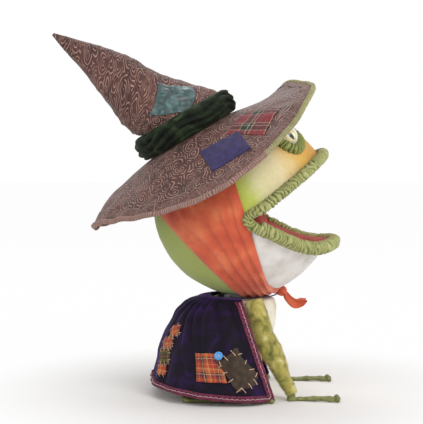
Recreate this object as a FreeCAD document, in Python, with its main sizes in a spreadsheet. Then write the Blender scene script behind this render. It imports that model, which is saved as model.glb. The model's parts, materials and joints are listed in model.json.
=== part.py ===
import FreeCAD, Part

import math
import os

import Sketcher

# Animated toad figure in witch's dress, sitting up with its mouth open.
# Frame: +Z up, +X the way the toad looks, origin on the floor under the neck's turning axis.
# All sizes are millimetres and degrees, and live in the spreadsheet below.

SIZES = {
    # clearances
    "seam_gap": 0.3,
    "running_gap": 0.05,
    "thrust_gap": 0.2,
    # head ball
    "head_radius": 125.0,
    "head_wall": 4.0,
    "head_height": 260.0,
    # mouth and jaw axis
    "jaw_axis_x": 8.0,
    "jaw_axis_z": 250.0,
    "upper_mouth_angle": 37.4,
    "lower_mouth_angle": 28.0,
    "lip_radius": 7.0,
    "upper_lip_reach": 130.0,
    "upper_lip_rise": 2.3,
    "lower_lip_reach": 136.0,
    "lower_lip_width": 127.0,
    "lower_lip_drop": 8.5,
    "chin_lift": 25.0,
    "lip_start": 17.0,
    "throat_split_x": 6.0,
    "throat_wall": 3.0,
    "throat_angle": 16.6,
    "throat_drop": 16.5,
    "board_thickness": 3.2,
    "lining_thickness": 2.4,
    "board_start": 12.0,
    "jaw_board_angle": 19.0,
    "jaw_board_drop": 16.0,
    "jaw_board_radius": 115.0,
    "palate_radius": 122.6,
    # jaw drive
    "axle_radius": 3.0,
    "axle_half_length": 92.0,
    "ear_offset": 81.0,
    "ear_thickness": 5.0,
    "ear_depth": 30.0,
    "lug_offset": 70.0,
    "lug_thickness": 5.0,
    "gear_module": 1.0,
    "gear_width": 6.0,
    "tooth_backlash": 0.3,
    "jaw_gear_teeth": 40.0,
    "jaw_gear_offset": 40.0,
    "jaw_pinion_teeth": 14.0,
    "chassis_thickness": 4.0,
    "chassis_bottom": 150.0,
    "motor_radius": 10.0,
    "motor_length": 32.0,
    "gearbox_radius": 11.0,
    "gearbox_length": 18.0,
    "motor_shaft_radius": 1.5,
    # neck
    "neck_radius": 18.0,
    "neck_bore": 13.0,
    "neck_bottom": 111.0,
    "neck_shoulder_radius": 26.0,
    "neck_shoulder": 2.0,
    "neck_flange_radius": 30.0,
    "neck_flange": 3.0,
    "bush_radius": 24.0,
    "bush_height": 12.0,
    "neck_gear_teeth": 60.0,
    "neck_gear_z": 112.0,
    "neck_pinion_teeth": 15.0,
    # trunk
    "trunk_top": 130.0,
    "trunk_wall": 3.0,
    "base_thickness": 4.0,
    "base_centre_x": -40.0,
    "base_length": 55.0,
    "base_width": 62.0,
    "deck_z": 105.0,
    "shaft_engagement": 8.0,
    "board_length": 44.0,
    "board_width": 34.0,
    "circuit_thickness": 1.6,
    "board_drop": 10.0,
    "deck_thickness": 3.0,
    # batteries and electrics
    "cell_radius": 7.1,
    "cell_length": 50.0,
    "cell_pitch": 15.0,
    "cell_count": 3.0,
    "box_centre_x": -60.0,
    "box_wall": 1.6,
    "box_height": 19.0,
    "door_thickness": 1.8,
    "door_ledge": 5.0,
    "screw_radius": 1.25,
    "screw_head_radius": 2.7,
    "screw_head": 1.6,
    "screw_length": 11.0,
    "screw_spread_x": 38.0,
    "screw_spread_y": 38.0,
    "boss_radius": 4.0,
    "boss_height": 12.0,
    "speaker_radius": 20.0,
    "speaker_x": -12.0,
    "speaker_height": 16.0,
    "switch_x": -25.0,
    "switch_y": 44.0,
    "switch_travel": 4.0,
    # limbs
    "arm_shoulder_radius": 13.0,
    "arm_wrist_radius": 7.5,
    "arm_wrist_x": 64.0,
    "arm_wrist_y": 73.0,
    "arm_wire_radius": 1.5,
    "finger_radius": 1.6,
    "finger_length": 66.0,
    "finger_spread": 11.0,
    "toe_pad_radius": 3.4,
    "haunch_x": -27.0,
    "haunch_y": 70.0,
    "haunch_length": 52.0,
    "haunch_width": 30.0,
    "haunch_height": 44.0,
    "haunch_z": 50.0,
    "foot_y": 86.0,
    "foot_heel_x": -88.0,
    "foot_length": 100.0,
    "foot_height": 8.0,
    "foot_width": 22.0,
    # cape
    "cape_thickness": 3.0,
    "cape_hem_z": 16.0,
    "cape_hem_rear_x": -131.0,
    "cape_hem_front_x": 38.0,
    "cape_hem_low": 2.5,
    "cape_front_top_x": -3.0,
    "cape_front_foot_x": 42.0,
    "cape_trim_width": 11.0,
    "trim_thickness": 1.6,
    "collar_radius": 43.0,
    "collar_tube": 2.5,
    "collar_z": 135.5,
    "button_radius": 5.8,
    "button_thickness": 2.4,
    # head scarf
    "scarf_thickness": 2.2,
    "scarf_front": 1.5,
    "scarf_front_angle": 17.5,
    "scarf_rear": 89.0,
    "scarf_rear_angle": 44.0,
    "knot_radius": 8.0,
    # hat
    "hat_x": -70.7,
    "hat_z": 354.0,
    "hat_tilt": 30.0,
    "crown_radius": 66.0,
    "crown_band_radius": 61.5,
    "crown_length": 207.0,
    "crown_lean": 57.3,
    "crown_slump": 9.0,
    "crown_tip_radius": 2.0,
    "brim_inner": 62.0,
    "brim_radius": 176.0,
    "brim_thickness": 4.0,
    "brim_end_drop": 23.0,
    "brim_side_drop": 49.0,
    "brim_curl": 34.0,
    "brim_hem_radius": 3.0,
    "band_height": 34.0,
    "band_thickness": 9.0,
    "patch_thickness": 1.4,
    # eyes
    "eye_x": 54.0,
    "eye_y": 58.0,
    "eye_z": 354.0,
    "eye_radius": 18.0,
    "lid_tube": 5.0,
}

doc = FreeCAD.newDocument("toad_witch")
sheet = doc.addObject("Spreadsheet::Sheet", "Sizes")
for row, (alias, number) in enumerate(SIZES.items(), start=1):
    sheet.set(f"A{row}", alias)
    sheet.set(f"B{row}", str(number))
    sheet.setAlias(f"B{row}", alias)
doc.recompute()

X_AXIS = FreeCAD.Vector(1, 0, 0)
Y_AXIS = FreeCAD.Vector(0, 1, 0)
Z_AXIS = FreeCAD.Vector(0, 0, 1)
AXIS_WORDS = {
    "X": "create(<<vector>>; 1; 0; 0)",
    "Y": "create(<<vector>>; 0; 1; 0)",
    "Z": "create(<<vector>>; 0; 0; 1)",
}
NODES = []


def size(alias):
    """The value of a spreadsheet cell."""
    return float(sheet.get(alias))


def vec(x, y, z):
    return FreeCAD.Vector(x, y, z)


def cells(text):
    """Turns $name into the sheet's cell of that name."""
    return text.replace("$", "Sizes.")


def bind(thing, **formulas):
    """Binds properties of a document object to formulas of sheet cells."""
    for name, formula in formulas.items():
        thing.setExpression(name, cells(str(formula)))
    return thing


def place(thing, x="0", y="0", z="0", axis="Z", angle="0"):
    """Binds an object's Placement: a point, and a turn about one main axis."""
    turn = f"create(<<rotation>>; {AXIS_WORDS[axis]}; {angle})"
    formula = f"create(<<placement>>; create(<<vector>>; {x}; {y}; {z}); {turn})"
    thing.setExpression("Placement", cells(formula))
    return thing


def primitive(kind, name, where=None, **formulas):
    """A Part primitive with bound sizes and placement."""
    thing = doc.addObject(f"Part::{kind}", name)
    bind(thing, **formulas)
    place(thing, **(where or {}))
    return thing


def cylinder(name, radius, height, **where):
    return primitive("Cylinder", name, where, Radius=radius, Height=height)


def box(name, length, width, height, **where):
    return primitive("Box", name, where, Length=length, Width=width, Height=height)


def ball(name, radius, **where):
    return primitive("Sphere", name, where, Radius=radius)


def fuse(name, *parts):
    joined = doc.addObject("Part::MultiFuse", name)
    joined.Shapes = list(parts)
    return joined


def common(name, *parts):
    shared = doc.addObject("Part::MultiCommon", name)
    shared.Shapes = list(parts)
    return shared


def cut(name, base, *tools):
    """The base less one or more tools."""
    left = doc.addObject("Part::Cut", name)
    left.Base = base
    left.Tool = tools[0] if len(tools) == 1 else fuse(name + "_tools", *tools)
    return left


def feature(name, shape):
    """A Part::Feature that holds a shape made with Part's own functions."""
    thing = doc.addObject("Part::Feature", name)
    thing.Shape = shape
    return thing


def node(thing, label):
    """Marks a finished document object as one sub-part of the figure."""
    thing.Label = label
    NODES.append((label, thing))
    return thing


def loft(name, sections, closed=False):
    made = doc.addObject("Part::Loft", name)
    made.Sections = sections
    made.Solid = True
    made.Closed = closed
    return made


def ellipse_ring(name, major, minor, **where):
    """An ellipse section, its major radius along the X of its placement unless that is turned."""
    return primitive("Ellipse", name, where, MajorRadius=major, MinorRadius=minor)


def origin_plane(body, role):
    """One of a body's own origin planes."""
    for datum in body.Origin.OriginFeatures:
        if datum.Role == role:
            return datum
    raise ValueError(role)


def new_body(name):
    return doc.addObject("PartDesign::Body", name)


def sketch_on(body, name, role="XY_Plane"):
    sketch = body.newObject("Sketcher::SketchObject", name)
    sketch.AttachmentSupport = (origin_plane(body, role), [""])
    sketch.MapMode = "FlatFace"
    return sketch


def sketch_circle(sketch, x, y, radius):
    """A circle whose centre and radius follow formulas of sheet cells."""
    ring = sketch.addGeometry(Part.Circle(vec(0, 0, 0), Z_AXIS, 1.0), False)
    limits = [
        sketch.addConstraint(Sketcher.Constraint("Radius", ring, 1.0)),
        sketch.addConstraint(Sketcher.Constraint("DistanceX", -1, 1, ring, 3, 1.0)),
        sketch.addConstraint(Sketcher.Constraint("DistanceY", -1, 1, ring, 3, 1.0)),
    ]
    for limit, formula in zip(limits, (radius, x, y)):
        sketch.setExpression(f"Constraints[{limit}]", cells(formula))


def sketch_polygon(sketch, corners):
    """A closed outline of straight lines whose corners follow formulas of sheet cells."""
    step = 2 * math.pi / len(corners)
    guess = [vec(math.cos(step * i), math.sin(step * i), 0) for i in range(len(corners))]
    pairs = zip(guess, guess[1:] + guess[:1])
    lines = [sketch.addGeometry(Part.LineSegment(a, b), False) for a, b in pairs]
    for i, line in enumerate(lines):
        sketch.addConstraint(Sketcher.Constraint("Coincident", line, 2, lines[(i + 1) % len(lines)], 1))
    for line, (x, y) in zip(lines, corners):
        for kind, formula in (("DistanceX", x), ("DistanceY", y)):
            limit = sketch.addConstraint(Sketcher.Constraint(kind, -1, 1, line, 1, 1.0))
            sketch.setExpression(f"Constraints[{limit}]", cells(formula))


def rectangle(sketch, low_x, high_x, low_y, high_y):
    sketch_polygon(sketch, [(low_x, low_y), (high_x, low_y), (high_x, high_y), (low_x, high_y)])


def pad(body, name, sketch, length, reverse=False, midplane=False):
    made = body.newObject("PartDesign::Pad", name)
    made.Profile = sketch
    made.Reversed = reverse
    made.Midplane = midplane
    made.setExpression("Length", cells(length))
    return made


def pocket(body, name, sketch, depth, reverse=False, midplane=False):
    made = body.newObject("PartDesign::Pocket", name)
    made.Profile = sketch
    made.Reversed = reverse
    made.Midplane = midplane
    made.setExpression("Length", cells(depth))
    return made


def revolve(body, name, sketch):
    """A full turn of a sketch about the body's Z axis."""
    made = body.newObject("PartDesign::Revolution", name)
    made.Profile = sketch
    made.ReferenceAxis = (sketch, ["V_Axis"])
    made.Angle = 360.0
    return made


# ---------------------------------------------------------------- mouth frames


def mouth_point(angle, along, side, rise):
    """A point in a frame at the jaw axis, tilted up by angle: along its plane, across, and square to it."""
    c, s = math.cos(math.radians(angle)), math.sin(math.radians(angle))
    return vec(size("jaw_axis_x") + along * c - rise * s, side, size("jaw_axis_z") + along * s + rise * c)


def ball_centre_in(angle):
    """The head ball's centre in that frame: along, rise."""
    c, s = math.cos(math.radians(angle)), math.sin(math.radians(angle))
    dx, dz = -size("jaw_axis_x"), size("head_height") - size("jaw_axis_z")
    return dx * c + dz * s, dz * c - dx * s


def upper_lip_path():
    """Centre line of the upper lip: the rim of the upper mouth plane, from side to side."""
    angle = size("upper_mouth_angle")
    centre, _ = ball_centre_in(angle)
    reach = size("upper_lip_reach")
    start = math.acos((size("lip_start") - centre) / reach)
    turns = [start * (1 - 2 * i / 12) for i in range(13)]
    rise = size("upper_lip_rise")
    return [mouth_point(angle, centre + reach * math.cos(t), reach * math.sin(t), rise) for t in turns]


def lower_lip_path():
    """Centre line of the lower lip: nearly flat at the sides, and lifted at the chin."""
    angle = -size("lower_mouth_angle")
    centre, _ = ball_centre_in(angle)
    reach, width = size("lower_lip_reach"), size("lower_lip_width")
    start = math.acos((size("lip_start") - centre) / reach)
    points = []
    for i in range(17):
        t = start * (1 - 2 * i / 16)
        rise = size("chin_lift") * math.cos(t) ** 6 - size("lower_lip_drop")
        points.append(mouth_point(angle, centre + reach * math.cos(t), width * math.sin(t), rise))
    return points


def loop_tube(points, radius):
    """A round tube along a closed run of points, in two halves that are joined end to end."""
    rings = []
    for before, point, after in zip(points[-1:] + points[:-1], points, points[1:] + points[:1]):
        rings.append(Part.Wire([Part.Circle(point, after - before, radius).toShape()]))
    half = len(rings) // 2
    first = Part.makeLoft(rings[: half + 1], True)
    second = Part.makeLoft(rings[half:] + rings[:1], True)
    return first.fuse(second)


def tube_along(points, radius):
    """A round tube along a smooth curve through points."""
    curve = Part.BSplineCurve()
    curve.interpolate(points)
    path = Part.Wire([curve.toShape()])
    start = curve.value(curve.FirstParameter)
    direction = curve.tangent(curve.FirstParameter)[0]
    profile = Part.Wire([Part.Circle(start, direction, radius).toShape()])
    return Part.Wire(path).makePipeShell([profile], True, True)


# ---------------------------------------------------------------- hat frame


def hat_point(radius, turn, rise):
    """A point by the hat: out from its axis, round it towards the toad's left, and up along the axis."""
    tilt = math.radians(size("hat_tilt"))
    along, side = radius * math.cos(turn), radius * math.sin(turn)
    return vec(
        size("hat_x") + along * math.cos(tilt) - rise * math.sin(tilt),
        side,
        size("hat_z") + along * math.sin(tilt) + rise * math.cos(tilt),
    )


def brim_rise(radius, turn):
    """Height of the brim's middle over the crown's foot: falling away all round, one front corner up."""
    share = max(0.0, (radius - size("brim_inner")) / (size("brim_radius") - size("brim_inner")))
    drop = size("brim_end_drop") + size("brim_side_drop") * math.sin(turn) ** 2
    curl = size("brim_curl") * math.exp(-((math.degrees(turn) - 34) / 20) ** 2)
    sag = 9 * math.exp(-((math.degrees(turn) - 155) / 22) ** 2)
    return -drop * share**1.1 + (curl - sag) * share**2


def brim_solid(over, under, inner, outer):
    """The brim as a loft round closed sections, from under to over its middle surface."""
    sections = []
    for i in range(24):
        turn = 2 * math.pi * i / 24
        radii = [inner + (outer - inner) * k / 4 for k in range(5)]
        top = [hat_point(r, turn, brim_rise(r, wrapped(turn)) + over) for r in radii]
        low = [hat_point(r, turn, brim_rise(r, wrapped(turn)) - under) for r in reversed(radii)]
        sections.append(Part.Wire([spline(top), line(top[-1], low[0]), spline(low), line(low[-1], top[0])]))
    return Part.makeLoft(sections, True, False, True)


def wrapped(turn):
    """The same direction between minus and plus half a turn."""
    return turn if turn <= math.pi else turn - 2 * math.pi


def spline(points):
    curve = Part.BSplineCurve()
    curve.interpolate(points)
    return curve.toShape()


def line(a, b):
    return Part.LineSegment(a, b).toShape()


def head_centre():
    return vec(0, 0, size("head_height"))


def heading(angle):
    """A direction in the figure's middle plane, angle above straight ahead."""
    turn = math.radians(angle)
    return vec(math.cos(turn), 0, math.sin(turn))


def half_space(point, way):
    """A big block on the side of a point that way looks to."""
    block = Part.makeBox(1200, 1200, 1200, vec(-600, -600, 0))
    block.Placement = FreeCAD.Placement(point, FreeCAD.Rotation(Z_AXIS, way))
    return block


def hat_place(rise=0.0):
    """Placement of a thing made round the hat's axis."""
    return FreeCAD.Placement(hat_point(0, 0, rise), FreeCAD.Rotation(Y_AXIS, -size("hat_tilt")))


def crown_solid(extra):
    """The pointed crown: upright through the band, then leaning back to a soft tip."""
    tilt = size("hat_tilt")
    foot = size("brim_thickness") / 2 + size("seam_gap")
    band, narrow = size("band_height"), size("crown_band_radius")
    start = hat_point(0, 0, band)
    sections = [
        ring(hat_point(0, 0, foot), tilt, size("crown_radius") + extra),
        ring(hat_point(0, 0, band * 0.55), tilt, (size("crown_radius") + narrow) / 2 + extra),
        ring(start, tilt, narrow + extra),
    ]
    way = heading(90 + size("crown_lean"))
    slump = heading(180 + size("crown_lean")) * size("crown_slump")
    for share, sink, turn in CROWN_FOLDS:
        centre = start + way * (size("crown_length") * share) + slump * sink
        radius = size("crown_tip_radius") + (narrow - size("crown_tip_radius")) * (1 - share) ** 0.95
        sections.append(ring(centre, turn, radius + extra * (1 - share)))
    return Part.makeLoft(sections, True, False)


def ring(centre, turn, radius):
    """A circle as a wire, with its axis leaning back by turn."""
    return Part.Wire([Part.Circle(centre, heading(90 + turn), radius).toShape()])


# How the soft crown folds over: share of its length, share of its slump, and the lean of its ring there.
CROWN_FOLDS = [
    (0.10, 0.6, 38),
    (0.21, 1.0, 46),
    (0.34, 0.9, 54),
    (0.48, 0.4, 56),
    (0.66, 0.0, 56),
    (0.83, 0.0, 54),
    (1.00, 0.0, 48),
]


# ---------------------------------------------------------------- gears


def gear_outline(teeth, module, backlash, first=0, last=None):
    """Points of involute teeth from number first to last, in order round the gear."""
    pressure = math.radians(20)
    pitch = teeth * module / 2
    base, tip, root = pitch * math.cos(pressure), pitch + module * 0.95, pitch - module * 1.25
    half = math.pi / (2 * teeth) - backlash / (2 * pitch) + math.tan(pressure) - pressure
    flank = [max(base, root) + (tip - max(base, root)) * k / 4 for k in range(5)]
    spread = [math.tan(math.acos(base / r)) - math.acos(base / r) for r in flank]
    points = []
    for tooth in range(first, teeth if last is None else last):
        middle = 2 * math.pi * tooth / teeth
        rising = [(root, middle - half)] if root < base else []
        rising += [(r, middle - half + s) for r, s in zip(flank, spread)]
        falling = [(r, 2 * middle - a) for r, a in reversed(rising)]
        points += rising + falling
    return [vec(r * math.cos(a), r * math.sin(a), 0) for r, a in points]


def gear_solid(teeth, width, bore, first=0, last=None):
    """A spur gear, or a sector of one closed through its centre, from z 0 to width."""
    points = gear_outline(teeth, size("gear_module"), size("tooth_backlash"), first, last)
    if last is not None:
        points.append(vec(0, 0, 0))
    outline = Part.makePolygon(points + [points[0]])
    disc = Part.Face(outline).extrude(vec(0, 0, width))
    if last is not None:
        disc = disc.fuse(Part.makeCylinder(size("axle_radius") * 2.4, width))
    return disc.cut(Part.makeCylinder(bore, width))


def along_y(shape, x, y, z):
    """Turns a shape from the Z axis to the Y axis and moves its foot to a point."""
    shape = shape.copy()
    shape.Placement = FreeCAD.Placement(vec(x, y, z), FreeCAD.Rotation(X_AXIS, -90))
    return shape


# ---------------------------------------------------------------- trunk and base


def trunk_form(name, inset):
    """The pear-shaped trunk as a loft of ellipses, made smaller all round by inset.

    Each row holds a height, the centre's x, half the length and half the width.
    """
    rows = [
        ("$base_thickness", "$base_centre_x", "$base_length", "$base_width"),
        ("30", "-42", "62", "71"),
        ("60", "-36", "67", "72"),
        ("90", "-25", "68", "65"),
        ("112", "-15", "59", "53"),
        ("$trunk_top - 4", "-7", "45", "41"),
        ("$trunk_top", "0", "32", "31"),
    ]
    sections = []
    for i, (z, x, length, width) in enumerate(rows):
        if i == len(rows) - 1:
            z = f"{z} - ({inset})"
        wide = float(cell_value(width)) > float(cell_value(length))
        major, minor = (width, length) if wide else (length, width)
        sections.append(
            ellipse_ring(
                f"{name}_ring{i}", f"{major} - ({inset})", f"{minor} - ({inset})",
                x=x, z=z, angle="90" if wide else "0",
            )
        )
    return loft(name, sections)


def cell_value(formula):
    """The number behind a plain formula of one cell or one number."""
    return size(formula[1:]) if formula.startswith("$") else formula


def make_base():
    """The moulded base plate that the figure sits on, with the battery and switch openings."""
    body = new_body("base_body")
    outline = sketch_on(body, "base_outline")
    wide, long = vec(0, size("base_width"), 0), vec(size("base_length"), 0, 0)
    outline.addGeometry(Part.Ellipse(wide, long, vec(0, 0, 0)), False)
    pad(body, "base_pad", outline, "$base_thickness")
    for name, low_x, high_x, low_y, high_y, depth in BASE_OPENINGS:
        opening = sketch_on(body, name + "_sketch")
        rectangle(opening, low_x, high_x, low_y, high_y)
        pocket(body, name, opening, depth, reverse=True)
    grille = sketch_on(body, "grille_sketch")
    for i in range(7):
        turn = (i + 0.5) * math.pi / 3
        x, y = (0, 0) if i == 0 else (11 * math.cos(turn), 11 * math.sin(turn))
        sketch_circle(grille, f"$speaker_x - $base_centre_x + {x:.3f}", f"{y:.3f}", "2.2")
    pocket(body, "grille", grille, "$base_thickness", reverse=True)
    bind_ellipse(outline)
    shanks, heads = sketch_on(body, "screw_ways"), sketch_on(body, "screw_seats")
    for x, y in SCREW_SPOTS:
        sketch_circle(shanks, f"{x} - $base_centre_x", y, "$screw_radius + $running_gap")
        sketch_circle(heads, f"{x} - $base_centre_x", y, "$screw_head_radius + $seam_gap")
    sketch_circle(shanks, "$box_centre_x - $base_centre_x", DOOR_SCREW_Y, "$screw_radius")
    pocket(body, "screw_way_cut", shanks, "$base_thickness", reverse=True)
    pocket(body, "screw_seat_cut", heads, "$screw_head + $seam_gap", reverse=True)
    return node(place(body, x="$base_centre_x"), "base_plate")


def bind_ellipse(sketch):
    """Exposes and binds the base outline's two axes, and fixes its centre at the origin."""
    sketch.exposeInternalGeometry(0)
    sketch.addConstraint(Sketcher.Constraint("Coincident", 0, 3, -1, 1))
    sketch.addConstraint(Sketcher.Constraint("PointOnObject", 1, 1, -2))
    for line_number, cell in ((1, "base_width"), (2, "base_length")):
        length = Sketcher.Constraint("Distance", line_number, 1, line_number, 2, 2 * size(cell))
        limit = sketch.addConstraint(length)
        sketch.setExpression(f"Constraints[{limit}]", f"2 * Sizes.{cell}")


DOOR_SCREW_Y = "$cell_length / 2 + 1 + $door_ledge / 2"
HALF_CELLS = "($cell_pitch * $cell_count / 2)"
BASE_OPENINGS = [
    (
        "cell_way",
        f"$box_centre_x - $base_centre_x - {HALF_CELLS} + 0.5",
        f"$box_centre_x - $base_centre_x + {HALF_CELLS} - 0.5",
        "-$cell_length / 2 - 1", "$cell_length / 2 + 1", "$base_thickness",
    ),
    (
        "door_seat",
        f"$box_centre_x - $base_centre_x - {HALF_CELLS} + 0.5",
        f"$box_centre_x - $base_centre_x + {HALF_CELLS} - 0.5",
        "-$cell_length / 2 - 1 - $door_ledge", "$cell_length / 2 + 1 + $door_ledge", "$door_thickness + 0.4",
    ),
    (
        "switch_way",
        "$switch_x - $base_centre_x - 3.2 ", "$switch_x - $base_centre_x + 3.2",
        "$switch_y - 3.2 - $switch_travel / 2", "$switch_y + 3.2 + $switch_travel / 2", "$base_thickness",
    ),
]


def make_electrics():
    """Batteries in their box, the door, the switch, the speaker and the control board."""
    half = HALF_CELLS
    outer = box(
        "battery_box_block", f"2 * {half} + 2 * $box_wall", "$cell_length + 2 + 2 * $box_wall", "$box_height",
        x=f"$box_centre_x - {half} - $box_wall", y="-$cell_length / 2 - 1 - $box_wall", z="$base_thickness",
    )
    inner = box(
        "battery_box_room", f"2 * {half}", "$cell_length + 2", "$box_height - $box_wall",
        x=f"$box_centre_x - {half}", y="-$cell_length / 2 - 1", z="$base_thickness",
    )
    node(cut("battery_box_cut", outer, inner), "battery_box")
    cell_row = []
    cell_z = "$base_thickness + $box_height - $box_wall - $cell_radius - 0.2"
    for i in range(3):
        middle = f"$box_centre_x + ({i} - 1) * $cell_pitch"
        can = cylinder(
            f"cell{i}_can", "$cell_radius", "$cell_length - 1.5",
            x=middle, y="$cell_length / 2 - 0.5", z=cell_z,
            axis="X", angle="90",
        )
        button = cylinder(
            f"cell{i}_button", "2.7", "$cell_length",
            x=middle, y="$cell_length / 2 - 0.2", z=cell_z,
            axis="X", angle="90",
        )
        cell_row.append(fuse(f"cell{i}", can, button))
    cells_group = doc.addObject("Part::Compound", "battery_cells_group")
    cells_group.Links = cell_row
    node(cells_group, "battery_cells")
    door = box(
        "door_panel", f"2 * {half} - 1.4", "$cell_length + 2 + 2 * $door_ledge - 0.6", "$door_thickness",
        x=f"$box_centre_x - {half} + 0.7", y="-$cell_length / 2 - 1 - $door_ledge + 0.3", z="0.3",
    )
    way = cylinder(
        "door_way", "$screw_radius + $running_gap", "10", x="$box_centre_x", y=DOOR_SCREW_Y, z="-1",
    )
    seat = cylinder("door_screw_seat", "2 + $seam_gap", "1", x="$box_centre_x", y=DOOR_SCREW_Y, z="0.1")
    node(cut("door_cut", door, way, seat), "battery_door")
    screws = []
    for i, (x, y) in enumerate(SCREW_SPOTS):
        head = cylinder(f"screw{i}_head", "$screw_head_radius", "$screw_head", x=x, y=y, z="$seam_gap")
        shank = cylinder(f"screw{i}_shank", "$screw_radius", "$screw_length", x=x, y=y, z="$seam_gap")
        screws.append(fuse(f"screw{i}", head, shank))
    head = cylinder("door_screw_head", "2", "0.7", x="$box_centre_x", y=DOOR_SCREW_Y, z="0.4")
    shank = cylinder("door_screw_shank", "$screw_radius", "3.2", x="$box_centre_x", y=DOOR_SCREW_Y, z="0.4")
    screws.append(fuse("door_screw", head, shank))
    set_of_screws = doc.addObject("Part::Compound", "screw_set")
    set_of_screws.Links = screws
    node(set_of_screws, "base_screws")
    case = box("switch_case", "14", "16", "7", x="$switch_x - 7", y="$switch_y - 8", z="$base_thickness")
    stem_room = box(
        "switch_room", "6.6", "6.6 + $switch_travel", "3.4",
        x="$switch_x - 3.3", y="$switch_y - 3.3 - $switch_travel / 2", z="$base_thickness",
    )
    node(cut("switch_cut", case, stem_room), "switch_case")
    node(
        box(
            "switch_slider_block", "6", "6", "$base_thickness + 2.4",
            x="$switch_x - 3", y="$switch_y - 3 - $switch_travel / 2", z="0.7",
        ),
        "switch_slider",
    )
    frame = cylinder("speaker_frame", "$speaker_radius", "3", x="$speaker_x", z="$base_thickness")
    basket = primitive(
        "Cone", "speaker_basket", {"x": "$speaker_x", "z": "$base_thickness + 3"},
        Radius1="$speaker_radius - 3", Radius2="10", Height="6",
    )
    magnet = cylinder("speaker_magnet", "11", "$speaker_height - 9", x="$speaker_x", z="$base_thickness + 9")
    cone_room = primitive(
        "Cone", "speaker_cone_room", {"x": "$speaker_x", "z": "$base_thickness"},
        Radius1="$speaker_radius - 4", Radius2="5", Height="7",
    )
    node(cut("speaker_cut", fuse("speaker_body", frame, basket, magnet), cone_room), "speaker")
    board_x = f"{MOTOR_X} + $gearbox_radius + 4"
    board = box(
        "board_plate", "$board_length", "$board_width", "$circuit_thickness",
        x=board_x, y="-$board_width / 2", z="$deck_z - $board_drop - $circuit_thickness",
    )
    chip_z = "$deck_z - $board_drop - $circuit_thickness - 2.4"
    chip = box("board_chip", "12", "12", "2.4", x=f"{board_x} + 14", y="-6", z=chip_z)
    posts = [
        cylinder(
            f"board_post{i}", "2.5", "$board_drop",
            x=f"{board_x} + {along}", y=across, z="$deck_z - $board_drop",
        )
        for i, (along, across) in enumerate(
            (along, across)
            for along in ("4", "$board_length - 4")
            for across in ("4 - $board_width / 2", "$board_width / 2 - 4")
        )
    ]
    node(fuse("board_fuse", board, chip, *posts), "control_board")


def make_trunk():
    """The hollow trunk shell, the motor deck inside it, and the neck's bush on top."""
    outer = trunk_form("trunk_outer", "0")
    inner = trunk_form("trunk_inner", "$trunk_wall")
    neck_hole = cylinder("trunk_neck_hole", "$bush_radius - 3", "40", z="$trunk_top - 30")
    bosses = [
        cylinder(f"boss{i}", "$boss_radius", "$boss_height", x=x, y=y, z="$base_thickness")
        for i, (x, y) in enumerate(SCREW_SPOTS)
    ]
    pilots = [
        cylinder(f"boss_pilot{i}", "$screw_radius", "$boss_height + 20", x=x, y=y, z="$base_thickness - 1")
        for i, (x, y) in enumerate(SCREW_SPOTS)
    ]
    shell = cut("trunk_hollow", outer, inner, neck_hole)
    inside = common("boss_trim", fuse("boss_set", *bosses), outer)
    node(cut("trunk_cut", fuse("trunk_fuse", shell, inside), *pilots), "trunk_shell")
    slab = box("deck_slab", "400", "400", "$deck_thickness", x="-200", y="-200", z="$deck_z")
    fit = trunk_form("deck_fit", "$trunk_wall + $seam_gap")
    shaft_hole = cylinder("deck_shaft_hole", "4", "40", x=MOTOR_X, z="$deck_z - 10")
    wire_hole = cylinder("deck_wire_hole", "$neck_bore - 3", "40", z="$deck_z - 10")
    node(cut("deck_cut", common("deck_plate", slab, fit), shaft_hole, wire_hole), "motor_deck")


SCREW_SPOTS = [
    (f"$base_centre_x {a} $screw_spread_x", f"{b}$screw_spread_y") for a in ("-", "+") for b in ("-", "")
]
MOTOR_X = "-($neck_gear_teeth + $neck_pinion_teeth) * $gear_module / 2"


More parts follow.
